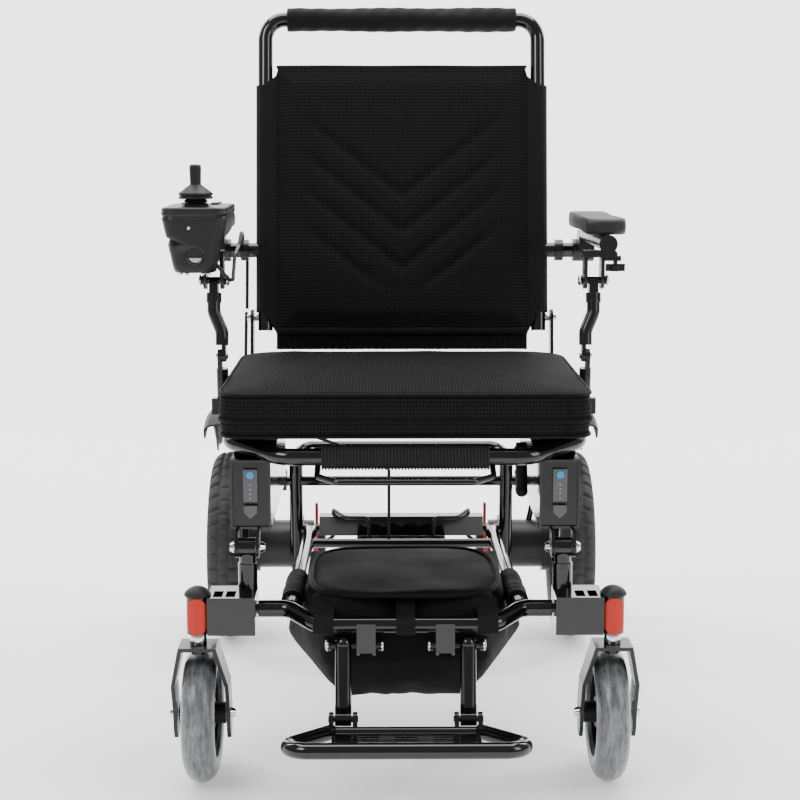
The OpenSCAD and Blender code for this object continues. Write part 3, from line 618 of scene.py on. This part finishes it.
def ribbed_rubber(x, t):
    """15.8 mm, with flat-topped ribs every 4.2 mm."""
    return 0.0158 + 0.0010 * np.clip(np.cos(x * 2 * np.pi / 0.0042) * 1.6, -1, 1) + 0 * t


_, push_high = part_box("push_sleeve")
push_d = 0.454  # how far up the backrest tubes the push bar is
push = bar_sleeve("push_bar_cover", push_high[0], lambda x, a, b: on_back(x, push_d + b, a),
                  lumpy_foam, webbing, 48, 260)
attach(push, "backrest")
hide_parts("push_sleeve")
grip_low, grip_high = (np.array(c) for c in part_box("handle_grip"))
grip_mid = (grip_low + grip_high) / 2
grip = bar_sleeve("front_grip", grip_high[0],
                  lambda x, a, b: np.stack([x, grip_mid[1] + a, grip_mid[2] + b], -1),
                  ribbed_rubber, grip_rubber, 36, 590)
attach(grip, "seat")
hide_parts("handle_grip")


# ---- Storage bag ----
# A nylon sack slung under the seat on webbing loops round the lower tubes, half empty, with a soft lid
# flap. A cloth simulation blows it up a little under air pressure; its sag and creases are then drawn by formulas.
blow_frames = 20


def soft_sack(name, node, voxel, pressure, cap):
    """The node's solid, remeshed evenly and blown up a little as cloth. Gives the object, its points before, and
    how far each one moves, which is never further than cap."""
    sack = add(name, nodes[node].data.copy())
    bm = bmesh.new()
    bm.from_mesh(sack.data)
    bmesh.ops.remove_doubles(bm, verts=bm.verts, dist=1e-5)
    bm.to_mesh(sack.data)
    bm.free()
    remesh = sack.modifiers.new("even", "REMESH")
    remesh.mode, remesh.voxel_size = "VOXEL", voxel
    sack.data = bpy.data.meshes.new_from_object(sack.evaluated_get(bpy.context.evaluated_depsgraph_get()))
    sack.modifiers.clear()
    start = np.zeros(len(sack.data.vertices) * 3)
    sack.data.vertices.foreach_get("co", start)
    cloth = sack.modifiers.new("cloth", "CLOTH")
    cloth.settings.quality = 5
    cloth.settings.mass = 0.15
    cloth.settings.tension_stiffness = cloth.settings.compression_stiffness = 12
    cloth.settings.bending_stiffness = 0.4
    cloth.settings.shrink_min = -0.06
    cloth.settings.use_pressure = True
    cloth.settings.uniform_pressure_force = pressure
    cloth.settings.effector_weights.gravity = 0
    cloth.point_cache.frame_start, cloth.point_cache.frame_end = 1, blow_frames
    for step in range(1, blow_frames + 1):
        bpy.context.scene.frame_set(step)
    blown = bpy.data.meshes.new_from_object(sack.evaluated_get(bpy.context.evaluated_depsgraph_get()))
    end = np.zeros(len(start))
    blown.vertices.foreach_get("co", end)
    move = (end - start).reshape(-1, 3)
    far = np.linalg.norm(move, axis=1, keepdims=True)
    move *= np.minimum(1, cap / np.maximum(far, 1e-9))
    sack.modifiers.clear()
    bpy.context.scene.frame_set(1)
    return sack, start.reshape(-1, 3), move


def cloth_uv(mesh):
    """UVs by each face's main direction, in metres, so that the weave keeps its real size."""
    count = len(mesh.loops)
    index = np.zeros(count, dtype=np.int32)
    mesh.loops.foreach_get("vertex_index", index)
    co = np.zeros(len(mesh.vertices) * 3)
    mesh.vertices.foreach_get("co", co)
    co = co.reshape(-1, 3)[index]
    normal = np.zeros(len(mesh.polygons) * 3)
    mesh.polygons.foreach_get("normal", normal)
    total = np.zeros(len(mesh.polygons), dtype=np.int32)
    mesh.polygons.foreach_get("loop_total", total)
    main = np.repeat(np.argmax(np.abs(normal.reshape(-1, 3)), axis=1), total)
    first = np.where(main == 0, co[:, 1], co[:, 0])
    second = np.where(main == 2, co[:, 1], co[:, 2])
    layer = mesh.uv_layers.new(name="UVMap")
    layer.data.foreach_set("uv", np.stack([first, second], 1).astype(np.float32).ravel())


sack, start, move = soft_sack("storage_sack", "storage_bag", 0.0065, 3.0, 0.014)
place = start + move
bag_low, bag_high = (np.array(c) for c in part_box("storage_bag"))
# where it touches the tubes it stays in; below them it sags into soft lobes, lower on the sitter's right
near_top = smooth_step((place[:, 2] - (bag_high[2] - 0.075)) / 0.03)
mouth_x = 0.132
spill = np.maximum(np.abs(place[:, 0]) - mouth_x, 0)
place[:, 0] -= np.sign(place[:, 0]) * spill * near_top
place[:, 2] = np.minimum(place[:, 2], bag_high[2] + 0.002)
place[:, 1] = np.maximum(place[:, 1], bag_low[1] - 0.004)
lobes = np.sin(place[:, 0] * 21 + 0.8) * np.sin(place[:, 1] * 11 + 0.5)
drop = smooth_step((bag_low[2] + 0.09 - place[:, 2]) / 0.08)
place[:, 2] += drop * (0.010 * lobes + 0.05 * place[:, 0]) + 0.004 * drop
crease = 0.0016 * np.sin(place[:, 0] * 130 + 40 * place[:, 2]) * np.sin(place[:, 1] * 60 + 30 * place[:, 2])
place[:, 1] += crease * (1 - near_top)
place[:, 2] = np.maximum(place[:, 2], bag_low[2] - 0.006)
sack.data.vertices.foreach_set("co", place.ravel())
sack.data.materials.clear()
sack.data.materials.append(nylon)
sack.data.polygons.foreach_set("use_smooth", [True] * len(sack.data.polygons))
cloth_uv(sack.data)
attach(sack, "bottom")
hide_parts("storage_bag")

# lid flap: a flat tongue with a round front, bound all round
lid_y0, lid_y1, lid_x = bag_low[1] - 0.002, bag_high[1] - 0.004, 0.124
lid_mid = (lid_y0 + lid_y1) / 2
edge_points = 200
a = np.linspace(0, 2 * np.pi, edge_points, endpoint=False)
rim_x = lid_x * np.sign(np.cos(a)) * np.abs(np.cos(a)) ** 0.42
rim_y = lid_mid + (lid_y1 - lid_y0) / 2 * np.sign(np.sin(a)) * np.abs(np.sin(a)) ** 0.62
reach = np.concatenate([np.linspace(0.02, 1, 30), [1.0, 0.985], np.linspace(0.96, 0.02, 10)])[:, None]
under = (np.arange(len(reach)) > 31)[:, None]
lid_px, lid_py = rim_x * reach, lid_mid + (rim_y - lid_mid) * reach
droop = 0.004 * smooth_step((reach - 0.9) / 0.1) * (1 - under)
lid_z = bag_high[2] + np.where(under, 0.0018, 0.0075) + 0.0016 * np.sin(lid_px * 38) * np.sin(lid_py * 33) - droop
lid_verts = np.stack([lid_px, lid_py, np.broadcast_to(lid_z, lid_px.shape)], -1).reshape(-1, 3)
lid = build("bag_lid", lid_verts, capped_faces(len(reach), edge_points), nylon, lid_verts[:, :2])
fix_normals(lid)
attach(lid, "bottom")
rim = np.column_stack([rim_x, rim_y, np.full(edge_points, bag_high[2] + 0.0045)])
binding = trim("bag_lid_binding", *sweep(rim, 0.0036, 8, True), tape, "bottom")

# straps: webbing from the sack's front edge, forward over the front bar, round it and back
bar_y, bar_z, bar_r = -0.360, 0.222, 0.0111
web, gap = 0.0018, 0.0022  # the webbing's thickness, and how far it stands off the bar
for label, sx, width in (("left", 0.104, 0.026), ("middle", 0.0, 0.024), ("right", -0.104, 0.026)):
    angle = np.radians(np.linspace(60, 300, 60))
    loop_y = bar_y + (bar_r + gap) * np.cos(angle)
    loop_z = bar_z + (bar_r + gap) * np.sin(angle)
    y = np.concatenate([np.linspace(bag_low[1] + 0.012, loop_y[0], 12)[:-1], loop_y,
                        np.linspace(loop_y[-1], bag_low[1] + 0.014, 12)[1:]])
    z = np.concatenate([np.linspace(bag_high[2] - 0.001, loop_z[0], 12)[:-1], loop_z,
                        np.linspace(loop_z[-1], bag_high[2] - 0.045, 12)[1:]])
    count = len(y)
    normal_y, normal_z = np.gradient(z), -np.gradient(y)
    length = np.hypot(normal_y, normal_z)
    shell = [np.stack([np.full(count, sx + half), y - normal_y / length * off, z - normal_z / length * off], -1)
             for half, off in ((-width / 2, 0), (width / 2, 0), (width / 2, web), (-width / 2, web))]
    uv = np.stack([np.tile([0, width, width, 0], count), np.repeat(np.cumsum(length), 4)], -1)
    strap = build(f"bag_strap_{label}", np.stack(shell, 1).reshape(-1, 3), capped_faces(count, 4), webbing, uv,
                  smooth=False)
    fix_normals(strap)
    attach(strap, "bottom")
# side loops: rolled cloth round the lower side tubes, which fall a little towards the rear
side_x, side_y0, side_z0, fall = 0.148, -0.318, 0.232, 0.0646
for label, sign in (("left", 1), ("right", -1)):
    along = np.linspace(0.040, 0.190, 60)
    path = np.stack([np.full(60, sign * side_x), side_y0 + along, side_z0 - fall * along], -1)
    roll_r = 0.0150 + 0.0006 * np.sin(along * 90) + 0.0003 * np.sin(along * 310)
    wrap = trim(f"bag_loop_{label}", *sweep(path, roll_r, 26), nylon, "bottom")


# ---- Drive tyres ----
# Air-filled rubber tyres with a block tread: a broken centre rib between two grooves, and staggered
# shoulder blocks.
def block_tyre(name, x_mid, axle_y, axle_z, outer, width):
    """A ring whose section is a squarish oval, with grooves cut by a function of the angle and of the place across
    the tread."""
    blocks, per_block, across = 40, 14, 72
    rib, oval, groove_depth = 0.0085, 2 / 2.5, 0.0042  # half the centre rib, the oval's power, the grooves' depth
    alpha = np.linspace(0, 2 * np.pi, blocks * per_block, endpoint=False)[:, None]
    t = np.linspace(0, 2 * np.pi, across, endpoint=False)[None, :]
    half, bead = width / 2, 0.112
    depth = (outer - bead) / 2 + 0.004
    px = half * np.sign(np.cos(t)) * np.abs(np.cos(t)) ** oval
    pr = outer - depth + depth * np.sign(np.sin(t)) * np.abs(np.sin(t)) ** oval
    pr = np.maximum(pr, bead + 0.0002)
    tread = smooth_step((pr - (outer - 0.022)) / 0.008)
    on_rib = np.abs(px) < rib
    rib_groove = np.exp(-((np.abs(px) - rib) / 0.0016) ** 4)
    phase = alpha * blocks / (2 * np.pi)
    shift = np.where(on_rib, 0.0, 0.5) + 9 * np.abs(px)
    saw = np.abs(((phase + shift) % 1) - 0.5) * 2
    cross_groove = smooth_step((0.26 - saw) / 0.10) * np.where(on_rib, 0.55, 1.0)
    cut = np.maximum(rib_groove, cross_groove) * tread * groove_depth
    wall = 0.0006 * np.cos((pr - 0.126) * 900) * (1 - tread) * (np.sin(t) > -0.2)
    scale = 1 - cut / 0.034
    mid_r = outer - depth
    x = px * scale
    r = mid_r + (pr - mid_r) * scale + wall
    verts = np.stack(np.broadcast_arrays(x_mid + x, axle_y + r * np.sin(alpha), axle_z + r * np.cos(alpha)), -1)
    piece = build(name, verts.reshape(-1, 3), grid_faces(blocks * per_block, across, True, True), tyre_rubber)
    fix_normals(piece)
    return piece


def tyre_compound():
    finish = Finish("tyre rubber", Specular_IOR_Level=0.35)
    dust = finish.noise(28.0, 6.0, 0.7)
    grit = finish.noise(700.0, 2.0)
    dusty = finish.span(dust, 0.42, 0.75, 0.0, 0.55)
    finish.feed("Base Color", finish.mix(dusty, grey(0.020), (0.060, 0.055, 0.050, 1)))
    finish.feed("Roughness", finish.span(dust * 0.6 + grit * 0.4, 0.3, 0.7, 0.55, 0.8))
    finish.feed("Normal", finish.bump(grit + dust * 0.5, 0.3, 0.0006))
    return finish.material


tyre_rubber = tyre_compound()
for side in ("left", "right"):
    low, high = (np.array(c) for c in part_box(f"drive_tyre_{side}"))
    tyre = block_tyre(f"drive_tyre_blocks_{side}", *((low + high) / 2), (high[2] - low[2]) / 2, high[0] - low[0])
    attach(tyre, f"wheel_{side}")
    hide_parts(f"drive_tyre_{side}")


# ---- Armrest pads ----
# Integral-skin foam pads, round at every edge, screwed to the armrest tube from below.
def soft_block(name, low, high, corner, edge, crown, material):
    """A block with rounded corners and edges: rings of its outline from the top's middle, over a quarter-round
    edge, down the side, and to the base's middle."""
    mid, half_x = (low + high) / 2, (high[0] - low[0]) / 2
    around = 160
    shape, _ = cushion_outline(around, half_x, low[1], high[1], corner)
    out = shape - [0, mid[1]]
    arc = np.linspace(0, np.pi / 2, 9)
    inset = np.concatenate([[1.0, 0.75, 0.5], np.linspace(0.3, 0, 4)[:-1] * 0.6])
    scale_in = np.concatenate([inset, np.zeros(2 * len(arc)), inset[::-1]])
    z = np.concatenate([high[2] - crown * (1 - inset) ** 2, high[2] - crown - edge * (1 - np.cos(arc)),
                        low[2] + edge * (1 - np.sin(arc)), np.full(len(inset), low[2])])
    direction = out / np.linalg.norm(out, axis=1, keepdims=True)
    back_off = np.concatenate([inset * 0 + edge, edge * (1 - np.sin(arc)), edge * (1 - np.cos(arc)),
                               inset * 0 + edge])[:, None, None]
    rings = mid[:2] + (out[None] - direction[None] * back_off) * (1 - scale_in[:, None, None] * 0.999)
    verts = np.concatenate([rings, np.broadcast_to(z[:, None, None], rings.shape[:2] + (1,))], -1).reshape(-1, 3)
    block = build(name, verts, grid_faces(len(z), around, False, True), material)
    fix_normals(block)
    return block


for side in ("left", "right"):
    low, high = (np.array(c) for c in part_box(f"armrest_pad_{side}"))
    pad = soft_block(f"armrest_foam_{side}", low, high, 0.020, 0.008, 0.002, pad_skin)
    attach(pad, f"arm_{side}")
    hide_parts(f"armrest_pad_{side}")


# ---- Joystick pod ----
# A two-part nylon housing: a bowl that narrows to its foot, with a parting line under the rim, a round
# well for the stick, a three-pin charging socket in front and its fixing screws.
pod_low, pod_high = (np.array(c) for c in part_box("joystick_pod"))
stick_low, stick_high = (np.array(c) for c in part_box("joystick_stick"))
stick_at = (stick_low[:2] + stick_high[:2]) / 2
pod_x = stick_at[0]
count = 180
parting = (0.905, 0.925)  # the parting line's two edges, as shares of the height
levels = [0, 0.02, 0.06, 0.15, 0.30, 0.45, 0.58, 0.62, 0.68, 0.76, 0.84, 0.895, *parting, 0.935, 0.965, 1.0]
height = pod_high[2] - pod_low[2]
rings, heights = [], []
for level in levels:
    widen = min(level / 0.9, 1.0)
    foot = 0.004 * max(0, 1 - level / 0.04) ** 2
    half = 0.0280 + 0.0155 * widen - foot
    front = pod_low[1] + 0.004 * (1 - widen) + foot
    rear = -0.156 + 0.120 * smooth_step((level - 0.45) / 0.22) - foot
    groove = 0.0012 if level in parting else 0.0
    shape, _ = cushion_outline(count, half - groove, front + groove, rear - groove, 0.0155)
    rings.append(shape + [pod_x, 0])
    heights.append(pod_low[2] + height * level)
last = rings[-1]
angle = np.arctan2(last[:, 1] - stick_at[1], last[:, 0] - stick_at[0])
circle = stick_at + np.stack([np.cos(angle), np.sin(angle)], 1) * 0.0192
for mixing, z in ((0.4, 0), (1.0, 0), (1.0, -0.021)):
    rings.append(last * (1 - mixing) + circle * mixing)
    heights.append(pod_high[2] + z)
verts = np.concatenate([np.column_stack([ring, np.full(count, z)]) for ring, z in zip(rings, heights)])
pod = build("pod_housing", verts, capped_faces(len(rings), count), pod_plastic)
fix_normals(pod)
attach(pod, "arm_right")
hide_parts("joystick_pod")


def lathe(name, profile, centre, axis, material, body, sides=32):
    """A turned part: profile points (distance along the axis, radius) spun about the axis through centre."""
    profile = np.asarray(profile, float)
    axis = np.asarray(axis, float) / np.linalg.norm(axis)
    first = np.cross(axis, [0, 0, 1] if abs(axis[2]) < 0.9 else [1, 0, 0])
    first /= np.linalg.norm(first)
    second = np.cross(axis, first)
    turn = np.linspace(0, 2 * np.pi, sides, endpoint=False)
    ring = first[None] * np.cos(turn)[:, None] + second[None] * np.sin(turn)[:, None]
    verts = (np.asarray(centre) + profile[:, None, :1] * axis + ring[None] * profile[:, None, 1:]).reshape(-1, 3)
    piece = build(name, verts, capped_faces(len(profile), sides), material)
    fix_normals(piece)
    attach(piece, body)
    return piece


forward, upward = (0, -1, 0), (0, 0, 1)
socket_at = np.array([pod_x + 0.002, pod_low[1] + 0.0035, pod_low[2] + 0.024])
collar = [(-0.004, 0.0128), (0.0, 0.0130), (0.0022, 0.0126), (0.0024, 0.0108), (0.0004, 0.0102), (-0.004, 0.0100)]
lathe("socket_collar", collar, socket_at, forward, panel_gloss, "arm_right", 48)
lathe("socket_face", [(-0.003, 0.0004), (-0.003, 0.0100), (0.0004, 0.0099), (0.0006, 0.0092), (0.0006, 0.0004)],
      socket_at, forward, steel, "arm_right", 48)
pin = [(0, 0.0001), (0, 0.0014), (0.0007, 0.0014), (0.0008, 0.0011), (0.0008, 0.0001)]
for label, angle in (("top", 90), ("left", 210), ("right", 330)):
    at = socket_at + [0.0048 * math.cos(math.radians(angle)), -0.0002, 0.0048 * math.sin(math.radians(angle))]
    lathe(f"socket_hole_{label}", pin, at, forward, panel_gloss, "arm_right", 16)
screw = [(-0.002, 0.0001), (-0.002, 0.0024), (0.0003, 0.0024), (0.0012, 0.0019), (0.0013, 0.0010),
         (0.0006, 0.0009), (0.0006, 0.0001)]
lathe("pod_screw_front", screw, (pod_x - 0.006, pod_low[1] + 0.0012, pod_low[2] + 0.060), forward, chrome,
      "arm_right", 20)
for i, (dx, dy) in enumerate(((-0.018, 0.008), (-0.010, 0.008), (0.012, 0.010), (0.019, 0.010))):
    lathe(f"pod_foot_screw_{i}", [(0, 0.0001), (0, 0.0026), (0.0026, 0.0026), (0.0032, 0.0019), (0.0032, 0.0001)],
          (pod_x + dx, pod_low[1] + dy, pod_low[2] + 0.0005), (0, 0, -1), chrome, "arm_right", 16)

# the lid: rings from under its edge, over a round shoulder, up a low dome to the stick's collar and down
# inside it
panel_low, panel_high = (np.array(c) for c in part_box("pod_panel"))
collar_r, dome_r, shoulder, lid_z = 0.0150, 0.021, 0.0040, panel_low[2] + 0.0002
lid_shape, _ = cushion_outline(count, 0.0435, pod_low[1], -0.036, 0.0155)
lid_shape = lid_shape + [pod_x, 0]
to_stick = lid_shape - stick_at
spoke = to_stick / np.linalg.norm(to_stick, axis=1, keepdims=True)
lid_rings, lid_heights = [], []
for quarter in np.linspace(0, np.pi / 2, 8):
    lid_rings.append(lid_shape - spoke * shoulder * (1 - np.cos(quarter)))
    lid_heights.append(lid_z + 0.0006 + shoulder * np.sin(quarter))
top_ring = lid_rings[-1]
for mixing in (0.25, 0.5, 0.75, 1.0):
    lid_rings.append(top_ring * (1 - mixing) + (stick_at + spoke * dome_r) * mixing)
    lid_heights.append(lid_z + 0.0006 + shoulder + 0.0006 * mixing * (2 - mixing))
for r, z in ((collar_r + 0.0012, panel_high[2] - 0.0022), (collar_r, panel_high[2] - 0.0010),
             (0.0129, panel_high[2] - 0.0012), (0.0126, lid_z)):
    lid_rings.append(stick_at + spoke * r)
    lid_heights.append(z)
lid_rings.append(lid_shape - spoke * 0.004)
lid_heights.append(lid_z)
lid_verts = np.concatenate([np.column_stack([ring, np.full(count, z)]) for ring, z in zip(lid_rings, lid_heights)])
pod_lid = build("pod_lid", lid_verts, grid_faces(len(lid_rings), count, True, True), pod_plastic)
fix_normals(pod_lid)
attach(pod_lid, "arm_right")
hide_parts("pod_panel")

# rubber gaiter between the panel's collar and the stick's skirt; it stays with the panel
t = np.linspace(0, 1, 41)
gaiter = np.column_stack([0.0062 * t, 0.0166 - 0.0035 * t + 0.0011 * np.cos(t * 2 * np.pi * 2.5)])
gaiter = np.vstack([[0.0, 0.0128], gaiter, [0.0062, 0.0118], [0.001, 0.0122]])
lathe("stick_gaiter", gaiter, (pod_x, stick_at[1], panel_high[2] - 0.0002), upward, grip_rubber, "arm_right", 48)
# the stick: a flared skirt and a waisted knob in one moulding
knob = [(-0.046, 0.0002), (-0.046, 0.0120), (-0.0456, 0.0226), (-0.0444, 0.0232), (-0.0428, 0.0226),
        (-0.0375, 0.0160), (-0.0325, 0.0108), (-0.0285, 0.0080), (-0.0240, 0.0071), (-0.0160, 0.0074),
        (-0.0060, 0.0080), (-0.0022, 0.0079), (-0.0006, 0.0066), (0.0, 0.0040), (0.0, 0.0002)]
stick = lathe("stick_knob", knob, (*stick_at, stick_high[2]), upward, grain_plastic, "stick", 48)


# ---- Gauge lights and bolt heads ----
# Four small lights in the window strip under each battery's button, chromed button heads on the hinge
# pins of the armrests and footrest hangers, and a collar round each caster's stem.
light = [(-0.001, 0.0001), (-0.001, 0.0012), (0.0004, 0.0012), (0.0007, 0.0008), (0.0007, 0.0001)]
button_head = [(-0.001, 0.0001), (-0.001, 0.0078), (0.0006, 0.0078), (0.0022, 0.0064), (0.0030, 0.0036),
               (0.0030, 0.0026), (0.0010, 0.0024), (0.0010, 0.0001)]
stem_ring = [(0.0, 0.0082), (0.0, 0.0104), (0.0012, 0.0110), (0.0136, 0.0110), (0.0148, 0.0104), (0.0148, 0.0082)]
for side, sign in (("left", 1), ("right", -1)):
    low, high = (np.array(c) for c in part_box(f"battery_button_{side}"))
    mid = (low + high) / 2
    for i in range(4):
        lathe(f"gauge_light_{side}_{i}", light, (mid[0], low[1] + 0.0016, mid[2] - 0.0125 - 0.006 * i), forward,
              key_grey, "seat", 12)
for side, sign in (("left", 1), ("right", -1)):
    for place, end, facing in (("outer", 0.2762, 1), ("inner", 0.2398, -1)):
        lathe(f"beam_bolt_{place}_{side}", button_head, (sign * end, -0.135, 0.6395), (sign * facing, 0, 0),
              chrome, f"arm_{side}", 24)
    for place, end, facing in (("outer", 0.0990, 1), ("inner", 0.0300, -1)):
        lathe(f"hanger_bolt_{place}_{side}", button_head, (sign * end, -0.362, 0.196), (sign * facing, 0, 0),
              chrome, "bottom", 24)
    lathe(f"stem_collar_{side}", stem_ring, (sign * 0.264, -0.348, 0.1938), upward, chrome, f"fork_{side}", 32)


# ---- Seat sling ----
# One piece of woven nylon pulled tight from rail to rail, whose two long edges rise to lie on the
# rails.
sling_low, sling_high = (np.array(c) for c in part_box("seat_sling"))
sling_half, sling_t, columns, stations = sling_high[0] + 0.0085, 0.0012, 90, 60
across = np.linspace(-sling_half, sling_half, columns)[None, :]
back = np.linspace(sling_low[1], sling_high[1], stations)[:, None]
lift = 0.0022 * smooth_step((np.abs(across) - sling_high[0] + 0.002) / 0.009)
inside = smooth_step((sling_high[0] - np.abs(across)) / 0.05)
ripple = 0.0003 * np.sin(back * 95 + 1.5 * np.sin(across * 9)) * inside
middle = sling_low[2] + 0.0012 + lift + ripple
layers = [np.stack(np.broadcast_arrays(across, back, middle + up), -1) for up in (sling_t / 2, -sling_t / 2)]
loop = np.concatenate([layers[0], layers[1][:, ::-1]], axis=1)
sling_faces = [tuple(f) for f in grid_faces(stations, 2 * columns, False, True)]
for start, turn_over in ((0, 1), ((stations - 1) * 2 * columns, -1)):
    last = start + 2 * columns - 1
    sling_faces += [(start + j, start + j + 1, last - 1 - j, last - j)[::turn_over] for j in range(columns - 1)]
sling = build("sling_cloth", loop.reshape(-1, 3), sling_faces, nylon)
fix_normals(sling)
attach(sling, "seat")
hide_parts("seat_sling")


# ---- Studio: backdrop and soft lights ----
# A pale floor that sweeps up into the wall behind it in one curve, and rectangular softboxes: two in
# front, one above, and two that light the wall.
pale = Finish("pale backdrop", Base_Color=(0.9, 0.9, 0.9, 1), Roughness=0.9, Emission_Color=(1, 1, 1, 1),
              Emission_Strength=0.38)
bend_y, bend_r, wall_top = 2.6, 1.6, 7
bend = np.linspace(0.05, np.pi / 2, 30)
run = np.concatenate([np.linspace(-6, bend_y, 30), bend_y + bend_r * np.sin(bend), np.full(12, bend_y + bend_r)])
rise = np.concatenate([np.zeros(30), bend_r - bend_r * np.cos(bend), np.linspace(bend_r + 0.2, wall_top, 12)])
across = np.linspace(-9, 9, 13)
backdrop_verts = np.stack(np.broadcast_arrays(across[None, :], run[:, None], rise[:, None]), -1).reshape(-1, 3)
floor = build("backdrop", backdrop_verts, grid_faces(len(run), len(across))[:, ::-1], pale.material)
world = bpy.data.worlds.new("studio")
world.use_nodes = True
world.node_tree.nodes["Background"].inputs["Color"].default_value = (0.96, 0.97, 1.0, 1)
world.node_tree.nodes["Background"].inputs["Strength"].default_value = 0.4
bpy.context.scene.world = world


def softbox(name, place, aim, width, height, watts):
    """A rectangular lamp at place that points at aim."""
    lamp = bpy.data.lights.new(name, "AREA")
    lamp.shape, lamp.size, lamp.size_y, lamp.energy = "RECTANGLE", width, height, watts
    obj = add(name, lamp)
    obj.location = place
    obj.rotation_euler = (Vector(aim) - Vector(place)).to_track_quat("-Z", "Y").to_euler()


softbox("key softbox", (-1.7, -2.0, 2.3), (0, 0, 0.5), 1.2, 1.2, 42)
softbox("fill softbox", (2.2, -1.6, 1.5), (0, 0, 0.5), 1.0, 1.6, 26)
softbox("top softbox", (0, 0.5, 2.9), (0, 0.3, 0), 3.0, 2.2, 150)
softbox("backdrop left", (-2.6, 1.6, 2.4), (-0.6, 4.2, 1.2), 1.5, 1.5, 170)
softbox("backdrop right", (2.6, 1.6, 2.4), (0.6, 4.2, 1.2), 1.5, 1.5, 170)
